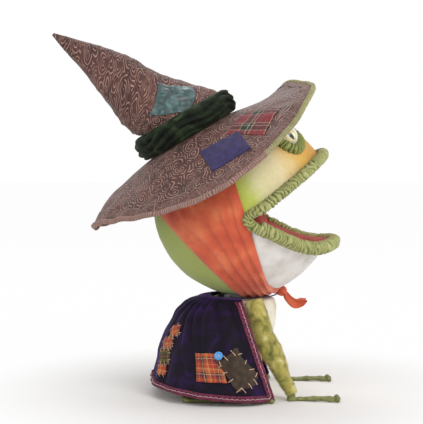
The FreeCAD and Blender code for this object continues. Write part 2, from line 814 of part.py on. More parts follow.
def make_neck():
    """The neck tube that carries the head in a bush on the trunk, with its gear, pinion and motor."""
    body = new_body("neck_body")
    profile = sketch_on(body, "neck_profile", "XZ_Plane")
    top = "$chassis_bottom"
    sketch_polygon(
        profile,
        [
            ("$neck_bore", "$neck_bottom"),
            ("$neck_radius", "$neck_bottom"),
            ("$neck_radius", "$trunk_top + 1 + $thrust_gap"),
            ("$neck_shoulder_radius", "$trunk_top + 1 + $thrust_gap"),
            ("$neck_shoulder_radius", "$trunk_top + 1 + $thrust_gap + $neck_shoulder"),
            ("$neck_radius", "$trunk_top + 1 + $thrust_gap + $neck_shoulder"),
            ("$neck_radius", f"{top} - $neck_flange"),
            ("$neck_flange_radius - 8", f"{top} - $neck_flange"),
            ("$neck_flange_radius - 8", top),
            ("$neck_bore", top),
        ],
    )
    revolve(body, "neck_turned", profile)
    node(body, "neck_tube")

    bush = new_body("bush_body")
    profile = sketch_on(bush, "bush_profile", "XZ_Plane")
    inner = "$neck_radius + $running_gap"
    sketch_polygon(
        profile,
        [
            (inner, "$trunk_top + 1 - $bush_height"),
            ("$bush_radius - 3 - $running_gap", "$trunk_top + 1 - $bush_height"),
            ("$bush_radius - 3 - $running_gap", "$trunk_top"),
            ("$bush_radius + 3", "$trunk_top"),
            ("$bush_radius + 3", "$trunk_top + 1"),
            (inner, "$trunk_top + 1"),
        ],
    )
    revolve(bush, "bush_turned", profile)
    node(bush, "neck_bush")

    width = size("gear_width")
    gear = gear_solid(int(size("neck_gear_teeth")), width, size("neck_radius"))
    gear.rotate(vec(0, 0, 0), Z_AXIS, 180 + 180 / size("neck_gear_teeth"))
    gear.translate(vec(0, 0, size("neck_gear_z")))
    node(feature("neck_gear_wheel", gear), "neck_gear")
    pinion = gear_solid(int(size("neck_pinion_teeth")), width, size("motor_shaft_radius"))
    shaft_foot = size("deck_z") - size("shaft_engagement") - size("neck_gear_z")
    shaft = Part.makeCylinder(size("motor_shaft_radius"), width - shaft_foot, vec(0, 0, shaft_foot))
    pinion = pinion.fuse(shaft)
    teeth = size("neck_gear_teeth") + size("neck_pinion_teeth")
    pinion.translate(vec(-teeth * size("gear_module") / 2, 0, size("neck_gear_z")))
    node(feature("neck_pinion_wheel", pinion.removeSplitter()), "neck_pinion")

    gearbox_z = "$deck_z - $gearbox_length"
    gearbox = cylinder("neck_gearbox", "$gearbox_radius", "$gearbox_length", x=MOTOR_X, z=gearbox_z)
    can_z = gearbox_z + " - $motor_length"
    can = cylinder("neck_can", "$motor_radius", "$motor_length", x=MOTOR_X, z=can_z)
    shaft_room = cylinder(
        "neck_shaft_room", "$motor_shaft_radius + $running_gap", "2 * $shaft_engagement",
        x=MOTOR_X, z="$deck_z - $shaft_engagement - 0.5",
    )
    node(cut("neck_motor_cut", fuse("neck_motor_body", gearbox, can), shaft_room), "neck_motor")


# ---------------------------------------------------------------- head


def make_head():
    """The head ball with its mouth cut out, the chassis inside it, and the neck's way in."""
    outer = ball("head_outer", "$head_radius", z="$head_height")
    inner = ball("head_inner", "$head_radius - $head_wall", z="$head_height")
    top = "($upper_lip_rise + $lip_radius + $seam_gap)"
    upper = box(
        "mouth_upper_room", "2 * $head_radius", "4 * $head_radius", "2 * $head_radius",
        x=f"$jaw_axis_x - sin($upper_mouth_angle) * ({top} - 2 * $head_radius) - 3 * cos($upper_mouth_angle)",
        y="-2 * $head_radius",
        z=f"$jaw_axis_z + cos($upper_mouth_angle) * ({top} - 2 * $head_radius) - 3 * sin($upper_mouth_angle)",
        axis="Y", angle="-$upper_mouth_angle",
    )
    lower = box(
        "mouth_lower_room", "2 * $head_radius", "4 * $head_radius", "2 * $head_radius",
        x="$throat_split_x", y="-2 * $head_radius", z="$jaw_axis_z - 2 * $head_radius",
    )
    chin_z = "$head_height - $head_radius - 30"
    neck_hole = cylinder("head_neck_hole", "$neck_radius + $running_gap", "60", z=chin_z)
    node(cut("head_cut", outer, inner, upper, lower, neck_hole), "head_shell")

    inside = ball("chassis_limit", "$head_radius - $head_wall - $seam_gap", z="$head_height")
    wall = box(
        "chassis_wall", "$chassis_thickness", "170", "110",
        x="-34", y="-85", z="$chassis_bottom",
    )
    window = box("chassis_window", "20", "60", "40", x="-44", y="-52", z="$chassis_bottom + 24")
    foot = box("chassis_foot", "62", "60", "$chassis_thickness", x="-34", y="-30", z="$chassis_bottom")
    foot_hole = cylinder("chassis_foot_hole", "$neck_bore", "30", z="$chassis_bottom - 10")
    ears = []
    for side, sign in (("left", ""), ("right", "-")):
        low = "$ear_offset" if side == "left" else "-$ear_offset - $ear_thickness"
        ears.append(
            box(
                f"{side}_ear", "$ear_depth + 16 + $jaw_axis_x - 8", "$ear_thickness", "24",
                x="-34", y=low, z="$jaw_axis_z - 14",
            )
        )
    bore = cylinder(
        "ear_bore", "$axle_radius + $running_gap", "400",
        x="$jaw_axis_x", y="200", z="$jaw_axis_z", axis="X", angle="90",
    )
    solid = cut("chassis_cut", fuse("chassis_fuse", wall, foot, *ears), window, foot_hole, bore)
    node(common("chassis_trim", solid, inside), "head_chassis")


def lip_shapes():
    upper = tube_along(upper_lip_path(), size("lip_radius"))
    lower = tube_along(lower_lip_path(), size("lip_radius"))
    return upper, lower


def throat_limit(inset):
    """A ball sector in front of the throat split and under the throat's seam plane."""
    sphere = Part.makeSphere(size("head_radius") - inset, head_centre())
    front = half_space(vec(size("throat_split_x") + size("seam_gap"), 0, 0), X_AXIS)
    seam = mouth_point(-size("lower_mouth_angle"), 0, 0, -size("throat_drop"))
    below = half_space(seam, heading(90 - size("throat_angle")) * -1)
    return sphere.common(front).common(below)


def half_disc(angle, start, radius, width, low, thickness):
    """A plate in a mouth plane: an ellipse round the ball's middle, squared off ahead of the jaw axis."""
    centre, _ = ball_centre_in(angle)
    outline = Part.Ellipse(vec(0, 0, 0), radius, width).toShape()
    plate = Part.Face(Part.Wire([outline])).extrude(vec(0, 0, thickness))
    if width > radius:
        raise ValueError("a mouth plate is longer than wide")
    plate.translate(vec(centre, 0, low))
    plate = plate.common(Part.makeBox(400, 600, 100, vec(start, -300, -50)))
    plate.Placement = FreeCAD.Placement(
        vec(size("jaw_axis_x"), 0, size("jaw_axis_z")), FreeCAD.Rotation(Y_AXIS, -angle)
    ).multiply(plate.Placement)
    return plate


def make_mouth():
    """Lips, linings, boards, throat skin and the soft corners of the mouth."""
    gap = size("seam_gap")
    upper, lower = lip_shapes()
    node(feature("upper_lip_tube", upper), "upper_lip")
    node(feature("lower_lip_tube", lower), "lower_lip")
    upper_room = tube_along(upper_lip_path(), size("lip_radius") + gap)
    lower_room = tube_along(lower_lip_path(), size("lip_radius") + gap)

    up = size("upper_mouth_angle")
    roof = size("upper_lip_rise") + size("lip_radius")
    reach, thick = size("palate_radius"), size("board_thickness")
    board = half_disc(up, size("board_start"), reach, reach, roof - thick, thick)
    node(feature("palate_board_plate", board), "palate_board")
    lining_foot = roof - thick - size("lining_thickness") - gap
    lining = half_disc(up, size("board_start"), reach, reach, lining_foot, size("lining_thickness"))
    node(feature("palate_lining_sheet", lining.cut(upper_room)), "palate_lining")

    down = -size("jaw_board_angle")
    drop = size("jaw_board_drop")
    radius = size("jaw_board_radius")
    board = half_disc(down, size("board_start"), radius + 2, radius, -drop - thick, thick)
    for side in (1, -1):
        low = side * size("lug_offset") - size("lug_thickness") / 2
        lug = Part.makeBox(26, size("lug_thickness"), drop + 2, vec(-2, low, -drop - size("board_thickness")))
        boss = Part.makeCylinder(size("axle_radius") * 2.4, size("lug_thickness"))
        lug = lug.fuse(along_y(boss, 0, low, 0))
        lug.Placement = FreeCAD.Placement(
            vec(size("jaw_axis_x"), 0, size("jaw_axis_z")), FreeCAD.Rotation(Y_AXIS, -down)
        ).multiply(lug.Placement)
        board = board.fuse(lug)
    bore = Part.makeCylinder(size("axle_radius"), 400)
    axle_room = along_y(bore, size("jaw_axis_x"), -200, size("jaw_axis_z"))
    board = board.cut(axle_room).removeSplitter()
    lining_start = size("board_start") + 14
    lining = half_disc(down, lining_start, radius + 2, radius, -drop + gap, size("lining_thickness"))
    node(feature("jaw_board_plate", board), "jaw_board")
    node(feature("jaw_lining_sheet", lining.cut(lower_room).cut(board)), "jaw_lining")

    throat = throat_limit(0).cut(throat_hollow())
    throat = throat.cut(lower_room)
    chin = size("head_height") - size("head_radius")
    neck = Part.makeCylinder(size("neck_shoulder_radius") + gap, 60, vec(0, 0, chin - 30))
    throat = biggest(throat.cut(neck))
    node(feature("throat_skin_shell", throat), "throat_skin")
    corners = []
    for side in (1, -1):
        corner = mouth_point(0, 3, side * (size("head_radius") - 1), -1)
        knob = Part.makeSphere(size("lip_radius") + 1.5, corner)
        knob = knob.cut(Part.makeSphere(size("head_radius") + gap, vec(0, 0, size("head_height"))))
        knob = knob.cut(scarf_shape(gap)).cut(upper_room).cut(lower_room)
        corners.append(biggest(knob))
    node(feature("mouth_corner_pair", Part.makeCompound(corners)), "mouth_corners")


def throat_hollow():
    """The room inside the throat skin, open at its back and its top."""
    return Part.makeSphere(size("head_radius") - size("throat_wall"), vec(0, 0, size("head_height")))


def biggest(shape):
    """The largest solid of a shape that a cut has left in pieces."""
    return max(shape.Solids, key=lambda solid: solid.Volume)


def make_jaw_drive():
    """The jaw's axle and toothed sector, and the motor and pinion that swing it."""
    x, z = size("jaw_axis_x"), size("jaw_axis_z")
    node(
        cylinder(
            "jaw_axle_rod", "$axle_radius", "2 * $axle_half_length",
            x="$jaw_axis_x", y="$axle_half_length", z="$jaw_axis_z", axis="X", angle="90",
        ),
        "jaw_axle",
    )
    teeth = int(size("jaw_gear_teeth"))
    sector = gear_solid(teeth, size("gear_width"), size("axle_radius"), 0, teeth * 3 // 8)
    first_turn = 180 + (teeth * 3 // 8 - 1) * 180 / teeth
    sector = along_y(sector, x, size("jaw_gear_offset"), z)
    sector.rotate(vec(x, 0, z), Y_AXIS, -first_turn)
    node(feature("jaw_gear_sector", sector.removeSplitter()), "jaw_gear")
    reach = (size("jaw_gear_teeth") + size("jaw_pinion_teeth")) * size("gear_module") / 2
    pinion = gear_solid(int(size("jaw_pinion_teeth")), size("gear_width"), size("motor_shaft_radius"))
    deep = size("shaft_engagement")
    shaft = Part.makeCylinder(size("motor_shaft_radius"), size("gear_width") + deep, vec(0, 0, -deep))
    pinion = pinion.fuse(shaft)
    pinion = along_y(pinion.removeSplitter(), x - reach, size("jaw_gear_offset"), z)
    pinion.rotate(vec(x - reach, 0, z), Y_AXIS, 180 / size("jaw_pinion_teeth"))
    node(feature("jaw_pinion_wheel", pinion), "jaw_pinion")
    motor_x = "$jaw_axis_x - ($jaw_gear_teeth + $jaw_pinion_teeth) * $gear_module / 2"
    gearbox = cylinder(
        "jaw_gearbox", "$motor_radius - 1", "$gearbox_length",
        x=motor_x, y="$jaw_gear_offset - 1", z="$jaw_axis_z", axis="X", angle="90",
    )
    can = cylinder(
        "jaw_can", "$motor_radius - 1", "$motor_length",
        x=motor_x, y="$jaw_gear_offset - 1 - $gearbox_length", z="$jaw_axis_z", axis="X", angle="90",
    )
    shaft_room = cylinder(
        "jaw_shaft_room", "$motor_shaft_radius + $running_gap", "2 * $shaft_engagement",
        x=motor_x, y="$jaw_gear_offset + $shaft_engagement - 0.5", z="$jaw_axis_z", axis="X", angle="90",
    )
    node(cut("jaw_motor_cut", fuse("jaw_motor_body", gearbox, can), shaft_room), "jaw_motor")
    saddle = box(
        "saddle_block", f"30 + {motor_x}", "26", "26",
        x="-30", y="-6", z="$jaw_axis_z - 13",
    )
    seat = cylinder(
        "saddle_seat", "$motor_radius - 1 + $running_gap", "60",
        x=motor_x, y="40", z="$jaw_axis_z", axis="X", angle="90",
    )
    node(cut("saddle_cut", saddle, seat), "jaw_motor_saddle")


def eye_axis(side):
    """The way an eye looks out: along the ball's radius through it."""
    return vec(size("eye_x"), side * size("eye_y"), size("eye_z") - size("head_height")).normalize()


def make_eyes():
    """Painted eyeballs that bulge from the head, each in a gathered lid."""
    centre_of_head = vec(0, 0, size("head_height"))
    head_room = Part.makeSphere(size("head_radius") + size("seam_gap"), centre_of_head)
    for side, word in ((1, "left"), (-1, "right")):
        out = eye_axis(side)
        seat = centre_of_head + out * (size("head_radius") - 2)
        eyeball = Part.makeSphere(size("eye_radius"), seat).cut(head_room)
        node(feature(f"{word}_eye_ball", eyeball), f"{word}_eye")
        ring = size("eye_radius") + size("lid_tube") * 0.4
        lid = Part.makeTorus(ring, size("lid_tube"), seat + out * 4, out)
        lid = lid.cut(head_room).cut(Part.makeSphere(size("eye_radius") + size("seam_gap"), seat))
        node(feature(f"{word}_lid_roll", biggest(lid)), f"{word}_eyelid")


def scarf_shape(extra):
    """The kerchief as a thin shell on the head ball between a front and a rear edge plane."""
    centre = head_centre()
    inner = size("head_radius") + size("seam_gap") - extra
    shell = Part.makeSphere(inner + size("scarf_thickness") + 2 * extra, centre)
    shell = shell.cut(Part.makeSphere(inner, centre))
    front = heading(size("scarf_front_angle"))
    rear = heading(size("scarf_rear_angle"))
    behind = half_space(centre + front * (extra - size("scarf_front")), front * -1)
    ahead = half_space(centre - rear * (size("scarf_rear") + extra), rear)
    return shell.common(behind).common(ahead)


# Half the width of a kerchief tail at its four sections, from the knot to the point.
TAIL_HALF_WIDTHS = (5, 8, 9, 3)


def make_scarf():
    """The kerchief round the head, its knot under the chin and the two tails."""
    gap = size("seam_gap")
    centre = vec(0, 0, size("head_height"))
    chin = size("head_height") - size("head_radius")
    neck = Part.makeCylinder(size("neck_shoulder_radius") + gap, 80, vec(0, 0, chin - 40))
    scarf = biggest(scarf_shape(0).cut(neck))
    node(feature("scarf_sheet", scarf), "head_scarf")
    turn = math.radians(-66)
    out = vec(math.cos(turn), 0, math.sin(turn))
    seat = centre + out * (size("head_radius") + size("knot_radius") * 0.75)
    knot = Part.makeSphere(size("knot_radius"), seat)
    room = Part.makeSphere(size("head_radius") + gap, centre)
    knot = knot.cut(room).cut(scarf)
    knot = biggest(knot)
    for side in (1, -1):
        start = seat + vec(4, side * 3, -1)
        steps = ((9, 2, -13), (20, 5, -19), (29, 9, -18))
        points = [start] + [start + vec(x, side * y, z) for x, y, z in steps]
        sections = []
        for i, half_width in enumerate(TAIL_HALF_WIDTHS):
            way = points[min(i + 1, 3)] - points[max(i - 1, 0)]
            sections.append(strip_section(points[i], way, half_width))
        tail = Part.makeLoft(sections, True, False)
        knot = knot.fuse(tail.cut(room))
    node(feature("scarf_knot_ball", biggest(knot.removeSplitter())), "scarf_knot")


def strip_section(centre, direction, half_width):
    """A flat ellipse across a ribbon, wide along Y."""
    section = Part.Wire([Part.Ellipse(vec(0, 0, 0), half_width, 1.1).toShape()])
    section.Placement = FreeCAD.Placement(centre, FreeCAD.Rotation(Y_AXIS, vec(0, 0, 0), direction, "ZXY"))
    return section


# ---------------------------------------------------------------- hat


# The patches on the brim: name, angle round the hat, how far in from the brim's edge, width and depth.
BRIM_PATCHES = (
    ("brim_patch_tartan", -52, 57, 56, 44),
    ("brim_patch_felt", -82, 51, 52, 38),
)


def make_hat():
    """The hat: crown, brim with its rolled hem, gathered band and sewn patches."""
    gap = size("seam_gap")
    centre = vec(0, 0, size("head_height"))
    head_room = Part.makeSphere(size("head_radius") + 2 * gap + size("scarf_thickness"), centre)
    crown_block = crown_solid(0)
    node(feature("hat_crown_form", crown_block.cut(head_room)), "hat_crown")
    half = size("brim_thickness") / 2
    inner, outer = size("brim_inner"), size("brim_radius")
    brim = brim_solid(half, half, inner, outer)
    node(feature("hat_brim_form", biggest(brim.cut(head_room))), "hat_brim")
    reach = outer + size("brim_hem_radius") + gap
    turns = [2 * math.pi * i / 36 for i in range(36)]
    rim = [hat_point(reach, t, brim_rise(outer, wrapped(t))) for t in turns]
    node(feature("brim_hem_roll", loop_tube(rim, size("brim_hem_radius"))), "brim_hem")

    low = half + gap
    high = size("band_height")
    wide, thick = size("crown_radius") + gap, size("band_thickness")
    profile = Part.makePolygon(
        [vec(wide - 8, 0, low), vec(wide + thick * 0.6, 0, low), vec(wide + thick, 0, (low + high) * 0.4),
         vec(wide + thick * 0.7, 0, high), vec(wide - 8, 0, high), vec(wide - 8, 0, low)]
    )
    band = Part.Face(profile).revolve(vec(0, 0, 0), Z_AXIS, 360)
    band.Placement = hat_place()
    crown_room = crown_solid(gap)
    node(feature("hat_band_roll", biggest(band.cut(crown_room))), "hat_band")

    patch = size("patch_thickness")
    crown_patch = crown_solid(gap + patch).cut(crown_room)
    window = Part.makeBox(48, 120, 34, vec(-24, -120, -17))
    patch_spot = hat_point(0, 0, size("band_height") + 32) + vec(-8, 0, 0)
    window.Placement = FreeCAD.Placement(patch_spot, FreeCAD.Rotation(Y_AXIS, 14))
    node(feature("crown_patch_cloth", biggest(crown_patch.common(window))), "crown_patch")
    top = brim_solid(half + gap + patch, -half - gap, inner + 20, outer - 10)
    for label, around, inset, wide, deep in BRIM_PATCHES:
        out = outer - inset
        turn = math.radians(around)
        window = Part.makeBox(deep, wide, 200, vec(-deep / 2, -wide / 2, -140))
        window.Placement = hat_place().multiply(
            FreeCAD.Placement(
                vec(out * math.cos(turn), out * math.sin(turn), 0),
                FreeCAD.Rotation(Z_AXIS, around),
            )
        )
        piece = top.common(window)
        if label == "brim_patch_tartan":
            tartan_window = window
        else:
            piece = piece.cut(tartan_window)
        node(feature(label + "_cloth", biggest(piece)), label)


# ---------------------------------------------------------------- limbs


def arm_path(side):
    """Centre points and radii of an arm, from shoulder to wrist."""
    wrist = vec(size("arm_wrist_x"), side * size("arm_wrist_y"), 9)
    shoulder, top = vec(16, side * 55, 116), size("arm_shoulder_radius")
    rows = [
        (0.0, vec(-1, -side * 3, 9), 0.7),
        (0.12, vec(0, 0, 0), 1.0),
        (0.4, vec(-4, side * 2, 0), 0.92),
        (0.7, vec(-2, side * 1, 0), 0.72),
        (1.0, vec(0, 0, 0), 0.0),
    ]
    low = size("arm_wrist_radius")
    span = wrist - shoulder
    return [(shoulder + span * share + shift, low + (top - low) * swell) for share, shift, swell in rows]


def make_limbs():
    """Stuffed arms on wires with long-fingered hands, folded haunches and hind feet."""
    grown = trunk_form("trunk_room", "-$seam_gap")
    doc.recompute()
    trunk_room = grown.Shape
    wires = []
    for side, word in ((1, "left"), (-1, "right")):
        path = arm_path(side)
        sections = []
        for i, (centre, radius) in enumerate(path):
            direction = path[min(i + 1, len(path) - 1)][0] - path[max(i - 1, 0)][0]
            if i == len(path) - 1:
                direction = vec(0, 0, -1)
            sections.append(Part.Wire([Part.Circle(centre, direction, radius).toShape()]))
        arm = Part.makeLoft(sections, True, False)
        route = [centre for centre, _ in path[1:-1]] + [path[-1][0] + vec(-2, 0, 5)]
        wire = tube_along(route, size("arm_wire_radius"))
        wires.append(wire)
        arm = biggest(arm.cut(trunk_room).cut(wire))
        node(feature(f"{word}_arm_form", arm), f"{word}_arm")
        wrist = path[-1][0]
        node(feature(f"{word}_hand_form", hand_shape(wrist, side, 3, size("finger_length"))), f"{word}_hand")
        haunch = Part.makeSphere(1.0)
        stretch = FreeCAD.Matrix()
        stretch.scale(size("haunch_length"), size("haunch_width"), size("haunch_height"))
        haunch = haunch.transformGeometry(stretch)
        haunch.translate(vec(size("haunch_x"), side * size("haunch_y"), size("haunch_z")))
        above = Part.makeBox(400, 400, 200, vec(-200, -200, size("foot_height") + size("seam_gap")))
        rings = [s.Edges[0].Curve for s in sections]
        wider = [Part.Circle(ring.Center, ring.Axis, ring.Radius + 0.5) for ring in rings]
        arm_room = Part.makeLoft([Part.Wire([ring.toShape()]) for ring in wider], True, False)
        haunch = biggest(haunch.common(above).cut(trunk_room).cut(arm_room))
        node(feature(f"{word}_haunch_form", haunch), f"{word}_haunch")
        node(feature(f"{word}_foot_form", foot_shape(side)), f"{word}_foot")
    node(feature("arm_wire_pair", Part.makeCompound(wires)), "arm_wires")


def hand_shape(wrist, side, fingers, length):
    """A flat palm under the wrist with long fingers that end in round pads, all lying on the floor."""
    thick = size("finger_radius")
    rise = wrist.z - size("seam_gap")
    palm = Part.makeCone(size("arm_wrist_radius"), size("arm_wrist_radius") - 2, thick * 2)
    palm = palm.fuse(Part.makeCylinder(size("arm_wrist_radius") * 0.8, rise, vec(0, 0, 0)))
    palm.translate(vec(wrist.x, wrist.y, 0))
    shape = palm
    for i in range(fingers):
        turn = math.radians((i - (fingers - 1) / 2) * size("finger_spread") + side * 2)
        way = vec(math.cos(turn), math.sin(turn), 0)
        start = vec(wrist.x, wrist.y, thick)
        end = start + way * (length - size("toe_pad_radius"))
        shape = shape.fuse(Part.makeCylinder(thick, length - size("toe_pad_radius"), start, way))
        pad_centre = vec(end.x, end.y, size("toe_pad_radius"))
        shape = shape.fuse(Part.makeSphere(size("toe_pad_radius"), pad_centre))
    return shape.removeSplitter()


def foot_shape(side):
    """A long flat hind foot with short toes ahead of it."""
    width, high = size("foot_width"), size("foot_height")
    heel = vec(size("foot_heel_x") + width / 2, side * size("foot_y"), 0)
    sole = Part.makeCone(width / 2, width / 2 - 3, high)
    sole.translate(heel)
    front = sole.translated(vec(size("foot_length") - width, 0, 0))
    corner = vec(heel.x, heel.y - width / 2 + 3, 0)
    bridge = Part.makeBox(size("foot_length") - width, width - 6, high, corner)
    shape = sole.fuse(front).fuse(bridge)
    for i in range(3):
        turn = math.radians((i - 1) * 16)
        start = vec(heel.x + size("foot_length") - width, heel.y, size("finger_radius"))
        way = vec(math.cos(turn), math.sin(turn), 0)
        reach = width / 2 + 26
        shape = shape.fuse(Part.makeCylinder(size("finger_radius"), reach, start, way))
        tip = start + way * reach
        shape = shape.fuse(Part.makeSphere(size("toe_pad_radius"), vec(tip.x, tip.y, size("toe_pad_radius"))))
    return shape.removeSplitter()


# ---------------------------------------------------------------- cape


def cape_form(grow):
    """The cape's bell as a loft of ellipses, grown or shrunk all round."""
    rows = [
        (134, 0, 46, 46),
        (130, -6, 60, 57),
        (118, -16, 72, 74),
        (101, -20, 79, 90),
        (72, -24, 89, 106),
        (39, -26, 96, 116),
        (0, -29, 104, 121),
    ]
    sections = []
    for z, x, length, width in rows:
        length, width = length + grow, width + grow
        if z == rows[0][0]:
            z += grow * 0.5
        big, small = max(length, width), min(length, width) if length != width else width - 0.001
        ellipse = Part.Ellipse(vec(0, 0, 0), big, small).toShape()
        wire = Part.Wire([ellipse])
        quarter = FreeCAD.Rotation(Z_AXIS, 90 if width > length else 0)
        wire.Placement = FreeCAD.Placement(vec(x, 0, z), quarter)
        sections.append(wire)
    return Part.makeLoft(sections, True, False)


def behind_front_edge(shift):
    """The half space behind the cape's front edge plane, moved back by shift."""
    foot = vec(size("cape_front_foot_x"), 0, 0)
    top = vec(size("cape_front_top_x"), 0, size("collar_z"))
    back = (top - foot).cross(Y_AXIS).normalize()
    return half_space(foot + back * shift, back)


def above_hem(shift):
    """The half space over the cape's hem plane, raised by shift."""
    front = vec(size("cape_hem_front_x"), 0, size("cape_hem_low"))
    rear = vec(size("cape_hem_rear_x"), 0, size("cape_hem_z"))
    up = (rear - front).cross(Y_AXIS).normalize() * -1
    if up.z < 0:
        up = up * -1
    return half_space(front + up * shift, up)


def make_cape():
    """The velvet cape with its braid, patches, button and neck cord."""
    gap = size("seam_gap")
    neck = Part.makeCylinder(size("collar_radius") - 3, 60, vec(0, 0, 110))
    outer = cape_form(0)
    cloth = outer.cut(cape_form(-size("cape_thickness"))).cut(neck)
    cloth = biggest(cloth.common(behind_front_edge(0)).common(above_hem(0)))
    collar = Part.makeTorus(size("collar_radius"), size("collar_tube"), vec(0, 0, size("collar_z")))
    layer = cape_form(gap + size("trim_thickness")).cut(cape_form(gap))
    layer = layer.common(behind_front_edge(0)).common(above_hem(0))
    layer = biggest(layer.cut(Part.makeCylinder(60, 60, vec(0, 0, 132))))
    trim_width = size("cape_trim_width")
    inner_area = behind_front_edge(trim_width).common(above_hem(trim_width))
    cord_room = Part.makeTorus(size("collar_radius"), size("collar_tube") + gap, vec(0, 0, size("collar_z")))
    node(feature("cape_cloth", biggest(cloth.cut(cord_room))), "cape")
    node(feature("cape_braid", biggest(layer.cut(inner_area))), "cape_trim")
    node(feature("collar_cord", collar), "collar_cord")
    for label, x, z, wide, tall in (
        ("cape_patch_tartan", -31, 42, 38, 37),
        ("cape_patch_felt", 2, 44, 26, 42),
    ):
        window = Part.makeBox(wide, 200, tall, vec(x - wide / 2, -200, z - tall / 2))
        piece = layer.common(inner_area).common(window)
        node(feature(label + "_cloth", biggest(piece)), label)
    column = []
    for around, z, wide, tall in ((-150, 84, 24, 22), (-160, 57, 30, 26), (-163, 35, 28, 14)):
        window = Part.makeBox(200, wide, tall, vec(0, -wide / 2, z - tall / 2))
        window.rotate(vec(0, 0, 0), Z_AXIS, around)
        window.translate(vec(-24, 0, 0))
        column.append(biggest(layer.common(inner_area).common(window)))
    node(feature("cape_patch_rear_cloth", Part.makeCompound(column)), "cape_patch_rear")
    button_spot = vec(-17, 0, 54)
    surface = cape_form(size("trim_thickness") + 2 * gap)
    depth = surface_depth(surface, button_spot)
    button = Part.makeCylinder(size("button_radius"), size("button_thickness"))
    for i in range(4):
        turn = math.pi / 4 + i * math.pi / 2
        button = button.cut(Part.makeCylinder(0.7, 10, vec(1.9 * math.cos(turn), 1.9 * math.sin(turn), -2)))
    lean = 10
    lie = FreeCAD.Rotation(X_AXIS, 90 - lean)
    button.Placement = FreeCAD.Placement(vec(button_spot.x, depth - 1.2, button_spot.z), lie)
    node(feature("button_disc", button.cut(surface)), "cape_button")


def surface_depth(solid, spot):
    """The y of a solid's right-hand surface at a given x and z."""
    needle = Part.makeLine(vec(spot.x, -400, spot.z), vec(spot.x, 0, spot.z))
    return needle.common(solid).BoundBox.YMin


# ---------------------------------------------------------------- build


def sound(shape):
    """Whether a shape is a valid solid with something in it."""
    return not shape.isNull() and shape.isValid() and bool(shape.Solids) and shape.Volume > 0


def check_and_write():
    """Stops on any failed object, then writes each sub-part's STEP file."""
    doc.recompute()
    for thing in doc.Objects:
        if any(word in ("Invalid", "Error") for word in thing.State):
            raise RuntimeError(f"{thing.Name} failed: {thing.State}")
    os.makedirs("parts", exist_ok=True)
    bad = [label for label, thing in NODES if not sound(thing.Shape)]
    if bad:
        raise RuntimeError(f"no valid solid in {bad}")
    for label, thing in NODES:
        thing.Shape.exportStep(f"parts/{label}.step")
        print(f"{label}: {len(thing.Shape.Solids)} solid, {thing.Shape.Volume / 1000:.2f} cm3")


make_base()
make_electrics()
make_trunk()
doc.recompute()
make_neck()
make_head()
make_mouth()
make_jaw_drive()
make_eyes()
make_scarf()
make_hat()
make_limbs()
make_cape()
check_and_write()
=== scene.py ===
"""A sitting toad in witch's dress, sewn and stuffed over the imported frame.

Every piece is made in millimetres in the frame's own axes (+X the way the toad looks, +Z up) and turned to
metres when its mesh is written. The toad's right side, with the patches and the button, is the side of -Y.
"""

import json
import logging
import math
from dataclasses import dataclass, field
from enum import Enum
from typing import Callable, Optional, Sequence

import bmesh
import bpy
import numpy as np
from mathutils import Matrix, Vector


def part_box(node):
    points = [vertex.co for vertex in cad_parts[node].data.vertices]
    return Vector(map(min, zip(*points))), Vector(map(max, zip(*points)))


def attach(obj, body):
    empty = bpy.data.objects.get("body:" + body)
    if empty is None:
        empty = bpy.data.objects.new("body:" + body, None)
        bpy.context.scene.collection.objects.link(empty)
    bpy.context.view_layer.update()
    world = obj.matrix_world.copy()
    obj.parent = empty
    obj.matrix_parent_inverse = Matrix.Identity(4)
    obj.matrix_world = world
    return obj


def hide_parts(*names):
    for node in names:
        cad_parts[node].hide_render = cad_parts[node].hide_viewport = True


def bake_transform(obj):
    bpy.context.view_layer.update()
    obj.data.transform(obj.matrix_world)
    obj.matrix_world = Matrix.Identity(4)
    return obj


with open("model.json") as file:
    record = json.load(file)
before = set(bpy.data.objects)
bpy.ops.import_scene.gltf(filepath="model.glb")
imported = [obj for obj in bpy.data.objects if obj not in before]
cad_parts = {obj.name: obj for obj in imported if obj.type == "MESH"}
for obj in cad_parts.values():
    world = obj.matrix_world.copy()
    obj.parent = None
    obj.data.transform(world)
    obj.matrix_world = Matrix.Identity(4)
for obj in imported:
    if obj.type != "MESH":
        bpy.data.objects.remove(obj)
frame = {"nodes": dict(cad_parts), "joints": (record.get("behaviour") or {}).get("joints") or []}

log = logging.getLogger("toad")
logging.basicConfig(level=logging.INFO, format="%(name)s: %(message)s")

MM = 0.001
TAU = 2 * math.pi
BANDS = 3.14  # a wave texture has about so many bands to one repeat of its scale
SIDES = (("left", 1), ("right", -1))
Array = np.ndarray
Object, Material = bpy.types.Object, bpy.types.Material
Tree, Node, Socket = bpy.types.NodeTree, bpy.types.Node, bpy.types.NodeSocket
Links = "dict | Sequence"
Rows = Sequence[Sequence[float]]
Numbers = float | Array
Source = Node | Socket | Sequence


class Body(Enum):
    """The frame's rigid bodies that carry pieces."""

    TORSO = "torso"
    HEAD = "head"
    JAW = "jaw"


# ------------------------------------------------------------------ numbers and curves


def per(millimetres: float) -> float:
    """Repeats per metre of a pattern that repeats after so many millimetres."""
    return 1000.0 / millimetres


def vec(x: float, y: float, z: float) -> Array:
    """A point or direction in millimetres."""
    return np.array([x, y, z], float)


def unit(v: Array) -> Array:
    """Directions of length one, along the last axis."""
    return v / np.maximum(np.linalg.norm(v, axis=-1, keepdims=True), 1e-9)


def heading(angle: float) -> Array:
    """A direction in the toad's middle plane, so many degrees above straight ahead."""
    return vec(math.cos(math.radians(angle)), 0, math.sin(math.radians(angle)))


def whole_turn(count: int) -> Array:
    """So many angles evenly spread over one turn, the last short of the first."""
    return np.linspace(0, TAU, count, endpoint=False)


